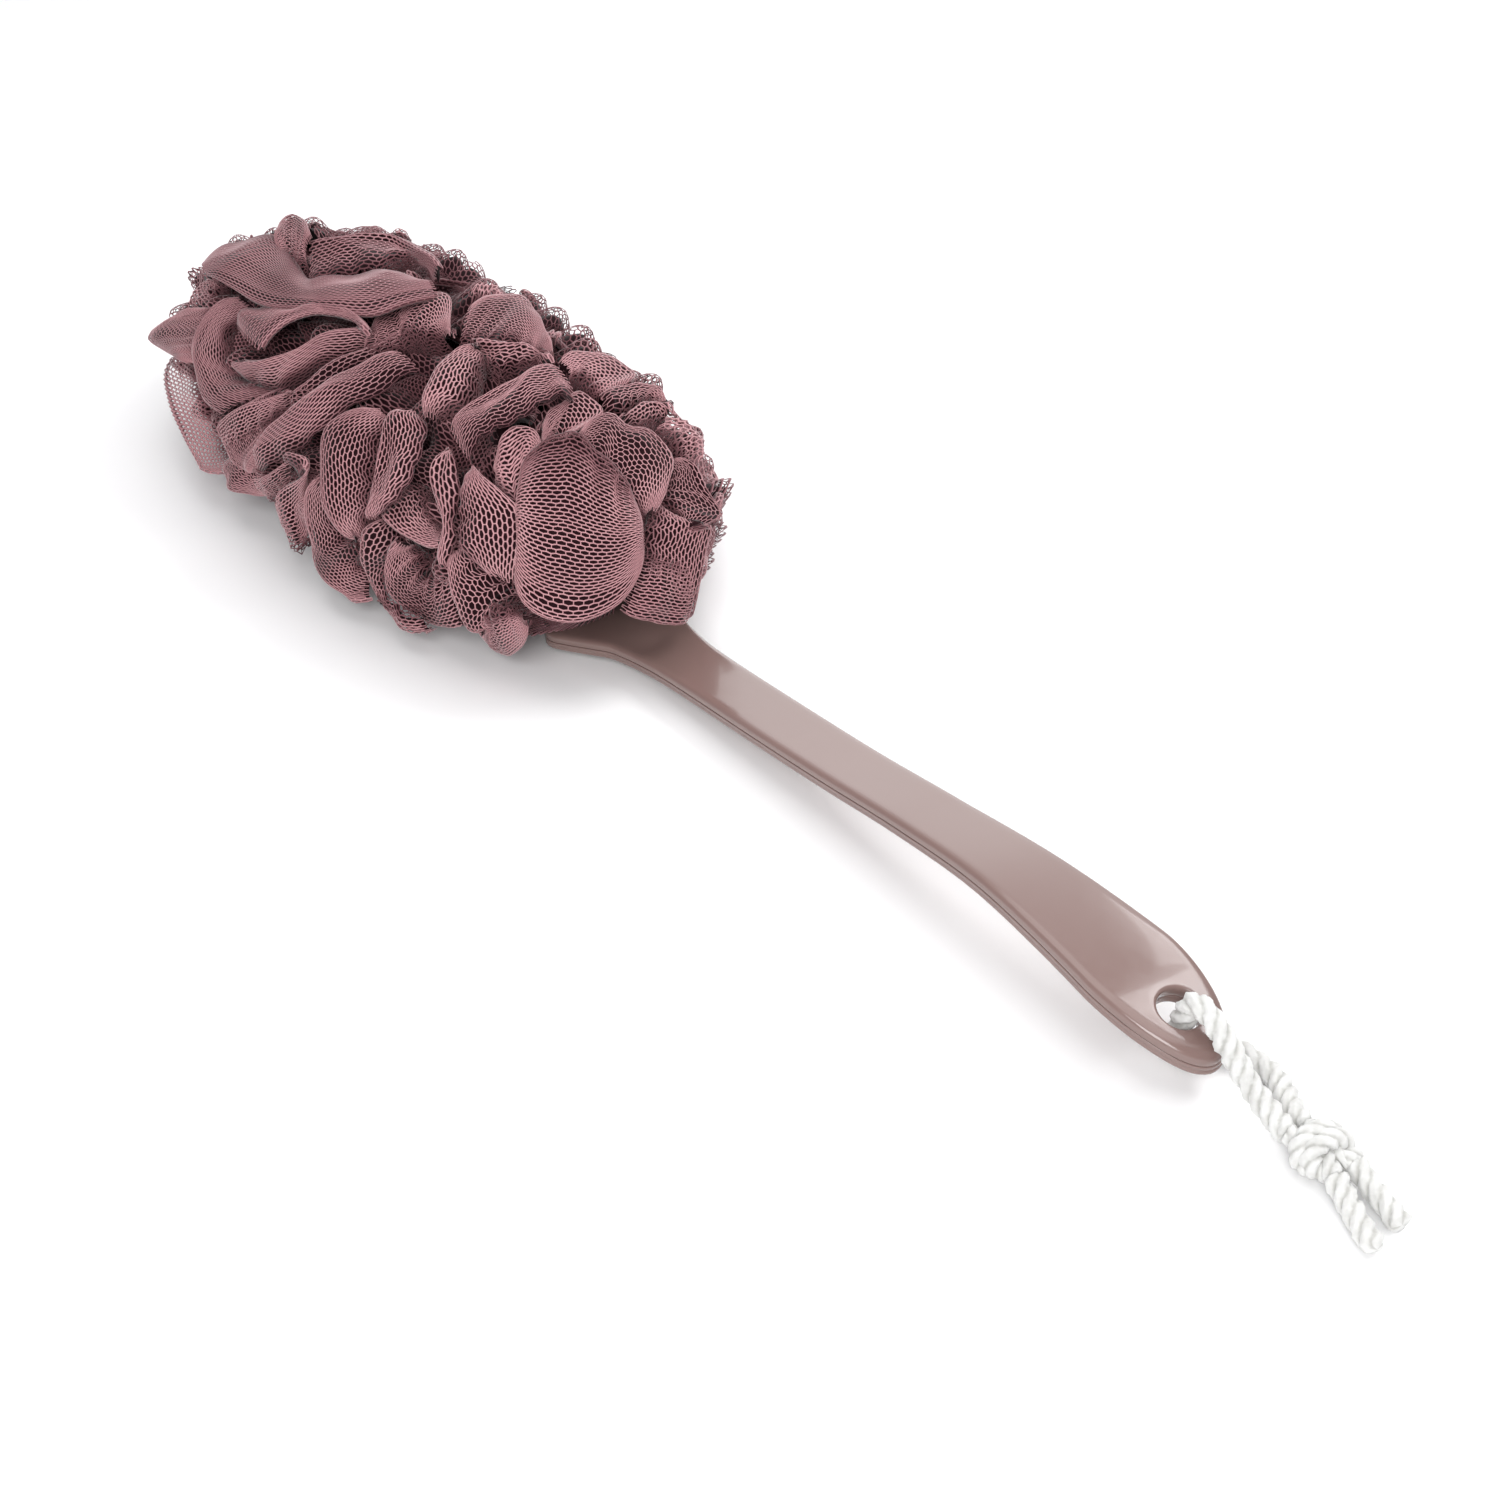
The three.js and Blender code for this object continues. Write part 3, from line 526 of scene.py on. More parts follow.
def knot_wrap():
    """The route of the cord round its own two legs."""
    route = []
    for turn in np.linspace(-0.35, 1.95, 30):
        angle = 2 * math.pi * turn
        x = -2.9 + 2.7 * turn + 1.5 * math.cos(angle + 0.6)
        ear = 1.0 + 0.22 * math.exp(-((turn - 0.62) / 0.12) ** 2)
        route.append(KNOT_CENTRE + [x, 4.25 * ear * math.cos(angle), 3.05 * ear * math.sin(angle) + 0.1])
    start = KNOT_CENTRE + [-3.2, 0.6, 0.4]
    end = KNOT_CENTRE + [3.6, 0.4, 0.2]
    return [start, *route, end]


def make_cord():
    cotton = cotton_material()
    body = "hang_loop"
    points, faces, shade, line = rope_points(CORD_ROUTE, CORD_DIAMETER, STRAND_PITCH, (0, 0))
    loop = mesh_piece("hanging_rope", points, faces, cotton, body, shade)
    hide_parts("hanging_cord")
    parts = [rope_points(knot_wrap(), 4.3, 8.5, (1, 1), phase=0.6)[:3]]
    for leg, tail in ((CORD_ROUTE[0], CORD_END_A[0]), (CORD_ROUTE[-1], CORD_END_B[0])):
        leg, tail = np.array(leg), np.array(tail)
        middle = (leg + tail) / 2 * 0.4 + KNOT_CENTRE * 0.6
        parts.append(rope_points([leg, middle, tail], 4.4, 9, (0, 0))[:3])
    points, faces, shade = joined(parts)
    knot = mesh_piece("rope_knot", points, faces, cotton, body, shade)
    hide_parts("cord_knot")
    for name, node, route, rounding in (("rope_end_a", "cord_end_a", CORD_END_A, 1.8),
                                        ("rope_end_b", "cord_end_b", CORD_END_B, 0.7)):
        points, faces, shade, _ = rope_points(route, 5.0, STRAND_PITCH, (0, rounding), phase=1.3)
        end = mesh_piece(name, points, faces, cotton, body, shade)
        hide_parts(node)


# ---- Handle ----

SEAM_WIDTH, SEAM_DEPTH = 0.15, 0.22
SHOULDER_INSET, SHOULDER_DROP = 1.4, 1.1
FOOT_INSET, FOOT_DROP = 0.9, 0.9
OUTLINE_STEP = 1.3
PATCH_X = 184
PLATE_ACROSS = 8
PATCH_RINGS = 8
CROWN, CROWN_X = 0.3, (110, 180)
top_curve = spline(TOP_FACE, 400)


def top_z(x):
    return np.interp(x, top_curve[:, 0], top_curve[:, 1])


def thickness(x):
    share = smooth_step((x - THICKENING_X[0]) / (THICKENING_X[1] - THICKENING_X[0]))
    return STRIP_THICKNESS + (TAIL_THICKNESS - STRIP_THICKNESS) * share


def handle_outline():
    """The closed outline from above, from the head's end along +Y to the tip and back, and its normals."""
    head = [[HEAD_END_X + HEAD_END_REACH * (1 - math.cos(a)), HEAD_HALF * math.sin(a)]
            for a in np.linspace(0, math.pi / 2, 24)]
    strip = spline(STRIP_EDGE, 12)
    reach = TIP_X - PADDLE_X
    tip = [[PADDLE_X + reach * math.sin(a), PADDLE_HALF * math.cos(a)]
           for a in np.linspace(0, math.pi / 2, 40)[1:]]
    half = resample(np.vstack([head, SHOULDER, strip, tip]), 0.25)
    reflected = np.vstack([half[1:][::-1] * [1, -1], half, half[:-1][::-1] * [1, -1]])
    kernel = np.exp(-0.5 * (np.arange(-14, 15) * 0.25 / 1.0) ** 2)
    kernel /= kernel.sum()
    smooth = np.stack([np.convolve(reflected[:, k], kernel, "same") for k in (0, 1)], 1)
    smooth = smooth[len(half) - 1:2 * len(half) - 1]
    smooth[0, 1] = smooth[-1, 1] = 0
    half = resample(smooth, OUTLINE_STEP)
    half[0, 1] = half[-1, 1] = 0
    loop = np.vstack([half, half[1:-1][::-1] * [1, -1]])
    along = np.roll(loop, -1, 0) - np.roll(loop, 1, 0)
    return loop, unit(np.stack([-along[:, 1], along[:, 0]], 1)), len(half)


def hole_ring(angles, radius, height):
    """Points round the hole's axis; height gives z for x."""
    centre_z = float(top_z(HOLE_X) - thickness(HOLE_X) / 2)
    lift = np.zeros(len(angles))
    for _ in range(12):
        x = HOLE_X + lift * math.sin(HOLE_TILT) + radius * np.cos(angles) * math.cos(HOLE_TILT)
        z = centre_z + lift * math.cos(HOLE_TILT) - radius * np.cos(angles) * math.sin(HOLE_TILT)
        lift = lift + (height(x) - z) / math.cos(HOLE_TILT)
    return np.stack([x, radius * np.sin(angles), z], 1)


def between(left, right):
    """The points of a row across the strip, without its two ends."""
    return left + (right - left) * np.linspace(0, 1, PLATE_ACROSS + 1)[1:-1, None]


def plate(rim, half_count, height, hole, flip):
    """Fills a face of a shell between its rim loop and the hole's loop. Returns new points and faces
    that count from the rim's points, then the hole's, then the new ones."""
    count = len(rim)
    split = int(np.argmax(rim[:half_count, 0] >= PATCH_X))
    new, faces = [], []
    start = count + len(hole)
    previous = None
    for i in range(1, split + 1):
        inner = between(rim[i], rim[count - i])
        inner[:, 2] = height(inner[:, 0])
        row = [i, *range(start, start + len(inner)), count - i]
        start += len(inner)
        new.append(inner)
        if previous is None:
            faces += [[row[a], row[a + 1], row[a + 2], 0] for a in range(0, PLATE_ACROSS, 2)]
        else:
            faces += [[previous[a], row[a], row[a + 1], previous[a + 1]] for a in range(PLATE_ACROSS)]
        previous = row
    boundary = [*range(split, half_count), *range(half_count, count - split + 1), *previous[1:-1][::-1]]
    everything = np.vstack([rim, hole, *new])
    outer = everything[boundary]
    ring = boundary
    for r in range(PATCH_RINGS - 1, 0, -1):
        inner = hole + (outer - hole) * (r / PATCH_RINGS) ** 1.1
        inner[:, 2] = height(inner[:, 0])
        numbers = list(range(start, start + len(inner)))
        start += len(inner)
        new.append(inner)
        faces += loop_quads(ring, numbers).tolist()
        ring = numbers
    faces += loop_quads(ring, list(range(count, count + len(hole)))).tolist()
    faces = np.array(faces)
    return np.vstack(new), faces[:, ::-1] if flip else faces


def boundary_angles(rim, half_count):
    """The direction from the hole to each point that the hole's loop is joined to."""
    count = len(rim)
    split = int(np.argmax(rim[:half_count, 0] >= PATCH_X))
    outer = np.vstack([rim[split:count - split + 1], between(rim[split], rim[count - split])[::-1]])
    return np.arctan2(outer[:, 1], outer[:, 0] - HOLE_X)


def make_shell(name, node, material, levels, hole_levels, upper):
    """One half of the handle. levels are (inset, share of thickness, drop) from the face to the seam;
    hole_levels are (extra radius, share, drop) from the seam to the face."""
    loop, normal, half_count = handle_outline()
    count = len(loop)
    sign = 1 if upper else -1

    def height_at(share, drop):
        return lambda x: top_z(x) - share * thickness(x) - sign * drop

    faces = []

    def wall(loops):
        for first, second in zip(loops, loops[1:]):
            quads = loop_quads(first, second)
            faces.append(quads if upper else quads[:, ::-1])

    rims = []
    for inset, share, drop in levels:
        flat = loop - normal * inset
        rims.append(np.column_stack([flat, height_at(share, drop)(flat[:, 0])]))
    numbers = [np.arange(count) + k * count for k in range(len(rims))]
    wall(numbers)
    angles = boundary_angles(rims[0], half_count)
    holes = [hole_ring(angles, HOLE_RADIUS + extra, height_at(share, drop)) for extra, share, drop in hole_levels]
    base = count * len(rims)
    size = len(angles)
    hole_numbers = [np.arange(size) + base + k * size for k in range(len(holes))]
    wall(hole_numbers)
    points = [*rims, *holes]
    total = base + size * len(holes)
    for rim_at, hole_at, (_, share, drop), flip in ((0, -1, levels[0], upper), (-1, 0, levels[-1], not upper)):
        rim, hole = rims[rim_at], holes[hole_at]
        new, quads = plate(rim, half_count, height_at(share, drop), hole, flip)
        table = np.concatenate([numbers[rim_at], hole_numbers[hole_at], np.arange(total, total + len(new))])
        points.append(new)
        faces.append(table[quads])
        total += len(new)
    points = np.vstack(points)
    if upper:
        half = loop[:half_count]
        across = points[:, 1] / (np.interp(points[:, 0], half[:, 0], half[:, 1]) - SHOULDER_INSET + 1e-6)
        near_face = smooth_step(1 - (top_z(points[:, 0]) - points[:, 2]) / 1.3)
        on_tail = smooth_step((points[:, 0] - CROWN_X[0]) / (CROWN_X[1] - CROWN_X[0]))
        points[:, 2] += CROWN * on_tail * np.clip(1 - across ** 2, 0, 1) * near_face
    piece = mesh_piece(name, points, np.vstack(faces), material)
    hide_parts(node)


def make_handle():
    plastic = plastic_material()
    bends = np.linspace(0, math.pi / 2, 7)
    face = [(SHOULDER_INSET + 1.2, 0, 0), (SHOULDER_INSET + 0.25, 0, 0), (SHOULDER_INSET, 0, 0.04)]
    face += [(SHOULDER_INSET * (1 - math.sin(a)), 0, 0.08 + SHOULDER_DROP * (1 - math.cos(a))) for a in bends[1:]]
    seam = [(0, 0.5, -SEAM_WIDTH - 0.12), (0.06, 0.5, -SEAM_WIDTH + 0.04), (SEAM_DEPTH, 0.5, -0.1)]
    hole_seam = [(0.5, 0.5, -0.1), (0.05, 0.5, -SEAM_WIDTH), (0, 0.5, -SEAM_WIDTH - 0.15)]
    lip = np.linspace(0, math.pi / 2, 6)
    hole_lip = [(0.9 * (1 - math.cos(a)), 0, 0.9 * (1 - math.sin(a))) for a in lip]
    make_shell("handle_top_half", "handle_upper_shell", plastic, face + seam, hole_seam + hole_lip, True)
    foot = [(FOOT_INSET * (1 - math.sin(a)), 1, FOOT_DROP * (1 - math.cos(a))) for a in bends]
    line = [(0, 0.5, -1.25), (0.09, 0.5, -1.15), (0.09, 0.5, -1.0), (0, 0.5, -0.9)]
    hole_foot = [(0.7 * (1 - math.cos(a)), 1, 0.7 * (1 - math.sin(a))) for a in lip]
    make_shell("handle_bottom_half", "handle_lower_shell", plastic, foot + line + seam, hole_seam + hole_foot, False)


# ---- Stage ----

def aim(thing, at, target):
    thing.location = Vector(at) * MM
    thing.rotation_euler = (Vector(target) * MM - thing.location).to_track_quat("-Z", "Y").to_euler()


def make_camera():
    data = bpy.data.cameras.new("camera")
    data.lens, data.sensor_width = LENS, 36.0
    data.clip_start, data.clip_end = 0.01, 20.0
    camera = bpy.data.objects.new("camera", data)
    bpy.context.scene.collection.objects.link(camera)
    aim(camera, CAMERA_AT, CAMERA_TARGET)
    bpy.context.scene.camera = camera


def area_light(name, at, size, power, target=None, turn=0.0):
    """A rectangular lamp that looks at a point, or straight down and turned by some degrees."""
    data = bpy.data.lights.new(name, "AREA")
    data.shape = "RECTANGLE"
    data.size, data.size_y = size[0] * MM, size[1] * MM
    data.energy = power
    light = bpy.data.objects.new(name, data)
    bpy.context.scene.collection.objects.link(light)
    if target:
        aim(light, at, target)
    else:
        light.location = Vector(at) * MM
        light.rotation_euler = (0, 0, math.radians(turn))


def make_stage():
    bpy.ops.mesh.primitive_plane_add(size=8.0)
    floor = bpy.context.active_object
    floor.name = "floor"
    floor.data.materials.append(floor_material())
    world = bpy.data.worlds.new("studio")
    bpy.context.scene.world = world
    world.use_nodes = True
    nodes, links = world.node_tree.nodes, world.node_tree.links
    place = nodes.new("ShaderNodeTexCoord").outputs["Generated"]
    towards = nodes.new("ShaderNodeVectorMath")
    towards.operation = "DOT_PRODUCT"
    towards.inputs[1].default_value = unit(np.array([-0.75, 0.55, 0.40]))
    links.new(place, towards.inputs[0])
    sky = ramp(nodes, links, towards.outputs["Value"], [(0.0, (0.165, 0.165, 0.17)), (0.78, (0.165, 0.165, 0.17)),
                                                        (0.90, (0.50, 0.50, 0.51)), (0.985, (1, 1, 1))])
    links.new(sky, nodes["Background"].inputs["Color"])
    nodes["Background"].inputs["Strength"].default_value = 2.3
    area_light("overhead", (60, 60, 1150), (1300, 900), 6.0)
    area_light("softbox", (350, 860, 1080), (640, 600), 8.4)
    area_light("softbox_wing", (-220, 1165, 1080), (560, 400), 4.0, turn=-27)
    area_light("front", (650, -650, 620), (600, 600), 9, target=(0, 0, 20))
    bpy.context.scene.view_settings.view_transform = "Standard"


# ---- Netting ----

RIDGE = 0.16
# Painted shade: how dark the inner edges of the meshes are, the dark sheet inside each fold, the net where it goes
# under its neighbours, and the net over each bundle's core.
INNER_SHADE, SHADOW_SHEET_SHADE, TUCKED_SHADE = 0.3, 0.0, 0.65
CORE_SHARE, CORE_SHADE = 0.83, 0.75
CRUMPLE = 0.9
EDGE_CURL = 1.0
BULGE = 0.55
OPENNESS = 0.55
VEIL_SIZES = (2.2, 1.5, 0.22, 0.42)
GRID_U, GRID_V = 25, 19
FOLD_RADIUS = 0.8
DEPTH_SHARE = 0.42  # how far back from the rim the net is modelled, as a share of the way to the root
MIDDLE = np.array([(PUFF_X[0] + PUFF_X[1]) / 2, 0.0, PUFF_MIDDLE_Z])
HALF_LENGTH = (PUFF_X[1] - PUFF_X[0]) / 2
ROWS = 5
ROW_PITCH = (PUFF_X[1] - PUFF_X[0]) / ROWS
EDGE_RETREAT = 0.75
NETTING_SEED = 11
PLEATS = 5.5  # across a traced lobe


def puff_scales(points):
    """The puff's half length, half width and half depth, which differ above and below its middle."""
    depth = np.where(points[..., 2] > PUFF_MIDDLE_Z, PUFF_TOP - PUFF_MIDDLE_Z, PUFF_SINK)
    return np.stack([np.full(depth.shape, HALF_LENGTH), np.full(depth.shape, PUFF_HALF_WIDTH), depth], -1)


def puff_project(point):
    """The point where the ray from the puff's middle through this point leaves its round form."""
    away = (point - MIDDLE) / puff_scales(point)
    size = abs(away[0]) ** PUFF_SQUARENESS + math.hypot(away[1], away[2]) ** PUFF_SQUARENESS
    return MIDDLE + (point - MIDDLE) * size ** (-1 / PUFF_SQUARENESS)


def puff_depth(points):
    """How far out points lie, as a share of the puff's own surface."""
    scales = puff_scales(points)
    away = np.abs((points - MIDDLE) / scales)
    return (away ** PUFF_SQUARENESS).sum(-1) ** (1 / PUFF_SQUARENESS)


def puff_normal(point):
    """Straight out of the puff's round form at a point of it."""
    scales = puff_scales(point)
    away = (point - MIDDLE) / scales
    power = PUFF_SQUARENESS - 1
    round_size = max(math.hypot(away[1], away[2]), 1e-6)
    slope = np.array([math.copysign(abs(away[0]) ** power, away[0]) / scales[0],
                      round_size ** power * away[1] / round_size / scales[1],
                      round_size ** power * away[2] / round_size / scales[2]])
    return slope / np.linalg.norm(slope)


def puff_point(x, turn):
    """A point of the form at x, turn degrees round from the top: negative is the right side."""
    along = min(abs(x - MIDDLE[0]) / HALF_LENGTH, 0.999)
    size = (1 - along ** PUFF_SQUARENESS) ** (1 / PUFF_SQUARENESS)
    angle = math.radians(turn)
    depth = PUFF_TOP - PUFF_MIDDLE_Z if math.cos(angle) > 0 else PUFF_SINK
    return np.array([x, PUFF_HALF_WIDTH * size * math.sin(angle), PUFF_MIDDLE_Z + depth * size * math.cos(angle)])


def row_at(x):
    """The row of bundles at x."""
    return int(np.clip((x - PUFF_X[0]) // ROW_PITCH, 0, ROWS - 1))


def lobe_grid(lobe):
    """The middle surface of a folded lobe of net, as a grid of points from rim to root, and its arc length."""
    here = puff_point(lobe["x"], lobe["turn"])
    out = puff_normal(here)
    along = unit(np.array([1.0, 0, 0]) - out * out[0])
    up = np.cross(out, along)
    lean = math.radians(lobe["lean"])
    ahead = along * math.cos(lean) + up * math.sin(lean)
    across = np.cross(out, ahead)
    reach = lobe["length"]
    rim = puff_project(here + ahead * reach / 2) + out * lobe["lift"]
    emerge = puff_project(here - ahead * reach / 2) + out * lobe["lift"]
    root = np.array(lobe["root"], float)
    handles = [root, root + (emerge - root) * 0.75 - ahead * 2, emerge + out * lobe["crown"] - ahead * 1, rim]
    t = np.linspace(0, 1, 80)[:, None]
    curve = ((1 - t) ** 3 * handles[0] + 3 * (1 - t) ** 2 * t * handles[1]
             + 3 * (1 - t) * t ** 2 * handles[2] + t ** 3 * handles[3])
    walked = walk(curve)
    total = walked[-1]
    u = np.linspace(-1, 1, GRID_U)
    v = np.linspace(0, 1, GRID_V)
    uu, vv = np.meshgrid(u, v, indexing="ij")
    end = 1 - EDGE_RETREAT * np.abs(uu) ** 3 * (1 - DEPTH_SHARE)
    share = end + (DEPTH_SHARE - end) * vv
    centre = sampled(curve, share * total, walked)
    ahead_at = sampled(curve, np.minimum(share * total + 1, total), walked)
    behind = sampled(curve, np.maximum(share * total - 1, 0), walked)
    way = unit(ahead_at - behind)
    face = unit(np.cross(way, across))
    grown = np.clip((share - DEPTH_SHARE) / (1 - DEPTH_SHARE), 0, 1)
    half = lobe["width"] / 2 * (0.38 + 0.62 * np.sin(grown * math.pi / 2))
    wrap = lobe["wrap"] * (0.5 + 0.5 * grown)
    wrap = np.where(np.abs(wrap) < 0.05, 0.05, wrap)
    lateral = half / wrap * np.sin(uu * wrap)
    drop = half / wrap * (1 - np.cos(uu * wrap))
    ripple = lobe["ripple"] * grown ** 1.5 * np.sin(2 * math.pi * lobe["waves"] * uu + lobe["phase"])
    points = centre + across * lateral[..., None] + face * (ripple - drop)[..., None]
    points[..., 2] = np.maximum(points[..., 2], 1.5)
    return points, total * (1 - DEPTH_SHARE)


def faced(grid):
    """The same surface with its front towards the outside of the puff."""
    i, j = GRID_U // 2, GRID_V // 3
    down, along = grid[i, j + 1] - grid[i, j - 1], grid[i + 1, j] - grid[i - 1, j]
    return grid if np.cross(down, along) @ puff_normal(puff_project(grid[i, j])) > 0 else grid[::-1]


def cubic(grid, u, v):
    """Catmull-Rom values of a grid at fractions u and v of its two sides."""
    def weights(x, count):
        x = np.clip(x, 0, 1) * (count - 1)
        cell = np.minimum(x.astype(int), count - 2)
        t = x - cell
        w = np.stack([-t + 2 * t ** 2 - t ** 3, 2 - 5 * t ** 2 + 3 * t ** 3,
                      t + 4 * t ** 2 - 3 * t ** 3, -t ** 2 + t ** 3]) / 2
        spots = np.clip(np.stack([cell - 1, cell, cell + 1, cell + 2]), 0, count - 1)
        return w, spots

    wu, su = weights(u, grid.shape[0])
    wv, sv = weights(v, grid.shape[1])
    value = 0
    for i in range(4):
        for j in range(4):
            value = value + (wu[i] * wv[j])[..., None] * grid[su[i], sv[j]]
    return value


def facing_at(grid, u, v):
    """Which way a grid's surface faces at fractions u and v of its two sides."""
    return unit(cubic(unit(np.cross(np.gradient(grid, axis=1), np.gradient(grid, axis=0))), u, v))


def sheet_of(grid, shade):
    """A grid of points as a plain surface of one painted shade: points, faces and that shade for each point."""
    numbers = np.arange(grid.shape[0] * grid.shape[1]).reshape(grid.shape[:2])
    faces = np.stack([numbers[:-1, :-1], numbers[1:, :-1], numbers[1:, 1:], numbers[:-1, 1:]], -1)
    return grid.reshape(-1, 3), faces.reshape(-1, 4), np.full(numbers.size, shade)


def soft_noise(rng, u, v, waves):
    """A smooth random field of about -1 to 1."""
    total = 0
    for _ in range(5):
        fu, fv, shift = rng.uniform(-waves, waves), rng.uniform(-waves, waves), rng.uniform(0, 6.28)
        total = total + np.sin(fu * u + fv * v + shift)
    return total / 2.6


def outline_grid(lobe, rng):
    """The middle surface of a lobe drawn by its rim and the line where it goes under its neighbours."""
    rim = spline(lobe["rim"], 8)
    back = spline(lobe["back"], 8)
    u = np.linspace(0, 1, GRID_U)

    def even(line):
        walked = walk(line)
        return sampled(line, u * walked[-1], walked)

    rim, back = even(rim), even(back)
    towards = np.array(lobe.get("seen_from", CAMERA_AT)) - (rim + back)[GRID_U // 2] / 2
    if np.cross(back[GRID_U // 2] - rim[GRID_U // 2], rim[-1] - rim[0]) @ towards < 0:
        rim, back = rim[::-1], back[::-1]
    out = np.array([puff_normal(puff_project(p)) for p in (rim + back) / 2])
    side = np.clip((np.abs(2 * u - 1) - 0.7) / 0.3, 0, 1)[:, None] ** 2
    curl = EDGE_CURL * smooth_step((np.abs(2 * u - 1) - 0.8) / 0.2)[:, None] ** 2
    sides = lobe.get("sides", 2.0) * 0.65
    bulge = lobe["bulge"] * BULGE
    middle = (rim + back) / 2 + out * (bulge - sides * 0.6 * side - curl)
    rim = rim - out * (sides * 0.5 * side + curl)
    back = back - out * (sides * side + curl)
    band = lobe.get("kind") == "band"
    if band:
        rows = [rim, rim * 0.75 + back * 0.25 + out * bulge * 0.8, middle,
                rim * 0.25 + back * 0.75 + out * bulge * 0.8, back]
    else:
        tuck = lobe.get("tuck", 8)
        root = np.stack([back[:, 0] * 0.9 + MIDDLE[0] * 0.1, back[:, 1] * 0.2, np.full(len(back), 12.0)], 1)
        inward = unit(root - back)
        first = back + inward * tuck * 0.45 + (back - middle) * 0.12
        rows = [rim, rim * 0.7 + middle * 0.3 + out * bulge * 0.3, middle, back, first,
                back + inward * tuck * 1.2]
    rows = np.stack(rows, 1)
    shown = 4 if band else 3
    lengths = np.linalg.norm(np.diff(rows, axis=1), axis=2).mean(0)
    depth = lengths.sum()
    at = np.r_[0, np.cumsum(lengths)] / depth
    v = np.linspace(0, 1, GRID_V)
    grid = np.zeros((GRID_U, GRID_V, 3))
    for i in range(GRID_U):
        fine = spline(rows[i], 12)
        keys = np.interp(np.linspace(0, len(at) - 1, len(fine)), np.arange(len(at)), at)
        grid[i] = sampled(fine, v, keys)
    hidden = np.clip(v / at[shown], 0, 1)
    pleat = lobe.get("pleat", 0.7)
    wave = np.sin(2 * math.pi * PLEATS * u[:, None] + 2.2 * np.sin(3.1 * u[:, None] + len(lobe["rim"])) + 0.8 * v)
    grid += out[:, None, :] * (pleat * wave * hidden ** 1.6 * (1 - side))[..., None]
    creases = 1 - 2 * np.abs(soft_noise(rng, u[:, None] * 5, v * 4, 1.3))
    grid += out[:, None, :] * (CRUMPLE * creases * np.minimum(1, hidden * 3 + 0.3) * (1 - side))[..., None]
    grid[..., 2] = np.maximum(grid[..., 2], 1.2)
    return grid, depth, float(at[shown])


def net_sizes(openness):
    """Width and height of a mesh of the knit, how far its threads zigzag, and the threads' width: closed
    slits where the fabric hangs slack, hexagons where it is stretched."""
    return (2.76 - 1.12 * openness, 0.71 + 0.54 * openness, 0.08 + 0.15 * openness, 0.27)


def layer_net(grid, depth, shown, columns, low, high, rng, sizes, band, fold):
    """Knitted net from row low to row high, where row 0 is the rim and rows below 0 are the front layer."""
    _, tall, zigzag, thread = sizes
    k = np.arange(2 * columns + 1)
    j = np.arange(low, high + 1)
    kk, jj = np.meshgrid(k, j)
    at = jj + np.where((kk + jj) % 2 == 0, zigzag, -zigzag)
    u = kk / (2 * columns)
    way = at * tall
    u = np.clip(u + 0.006 * soft_noise(rng, u * 9, way * 0.16, 1), 0, 1)
    way = way + 0.35 * soft_noise(rng, u * 9, way * 0.16, 1)
    arc = np.abs(way)
    bend = np.clip(arc / fold, 0, math.pi / 2)
    inward = np.where(arc < fold * math.pi / 2, fold * (1 - np.cos(bend)), fold + arc - fold * math.pi / 2)
    v = np.clip(inward / depth, 0, 1)
    slack = np.clip(v * 2.6, 0, 1.8) * (0.8 + 0.5 * soft_noise(rng, u * 7, v * 5, 1))
    if band:
        apart = fold * np.sqrt(np.clip(1 - (2 * v - 1) ** 6, 0, 1))
    else:
        apart = fold * np.sin(bend) * (1 + slack)
    centre = cubic(grid, u, v)
    facing = facing_at(grid, u, v)
    ruffle = 0.3 * soft_noise(rng, u * 26, v * 14, 1)
    layer = np.sign(way)
    points = centre - facing * (fold + layer * apart + ruffle)[..., None]
    raised = points - facing * (np.where(layer == 0, -1, layer) * RIDGE)[..., None]
    cells_by_row = []
    wide = 2 * columns + 1
    for row in range(high - low):
        first = 1 if (row + low) % 2 == 0 else 2
        spot = np.arange(first, 2 * columns, 2)
        near, far = row * wide + spot, (row + 1) * wide + spot
        cells_by_row.append(np.stack([near - 1, near, near + 1, far + 1, far, far - 1], 1))
    cells = np.vstack(cells_by_row)
    corners = points.reshape(-1, 3)[cells]
    middle = corners.mean(1, keepdims=True)
    away = corners - middle
    half = (corners[:, 2] + corners[:, 3] - corners[:, 0] - corners[:, 5])[:, None, :] / 4
    reach = np.maximum(np.linalg.norm(half, axis=-1, keepdims=True), 0.05)
    sideways = (away * half).sum(-1, keepdims=True) * half / reach ** 2
    upright = away - sideways
    height = np.maximum(np.linalg.norm(upright, axis=-1, keepdims=True), 0.05)
    slack_here = soft_noise(rng, middle[..., :1] * 0.12, middle[..., 1:2] * 0.12, 1)
    rim = np.repeat(np.abs(np.arange(low, high) + 0.5), [len(c) for c in cells_by_row])[:, None, None]
    width = thread * (1 + 0.3 * slack_here + np.clip(1.8 - rim, 0, 1))
    inner = (middle + sideways * np.clip(1 - 0.6 * width / reach, 0.1, 0.9)
             + upright * np.clip(1 - 0.77 * width / height, 0.12, 0.85))
    start = points.shape[0] * points.shape[1]
    numbers = start + np.arange(len(cells) * 6).reshape(-1, 6)
    faces = [np.stack([cells[:, a], cells[:, (a + 1) % 6], numbers[:, (a + 1) % 6], numbers[:, a]], 1)
             for a in range(6)]
    # Painted shade: darker where the net goes under its neighbours, on the back layer, in the gaps between folds, and
    # on the inner edges of each mesh.
    dark = 1 - TUCKED_SHADE * smooth_step((v / shown - 0.7) / 0.4)
    dark = dark * (1 - (0.55 if not band else 0.2) * (layer > 0) * smooth_step(np.abs(way) / 3))
    dark = (dark * sunk_shade(points)).reshape(-1)
    shade = np.r_[dark, np.repeat(dark[cells].mean(1), 6) * INNER_SHADE]
    return np.vstack([raised.reshape(-1, 3), inner.reshape(-1, 3)]), np.vstack(faces), shade


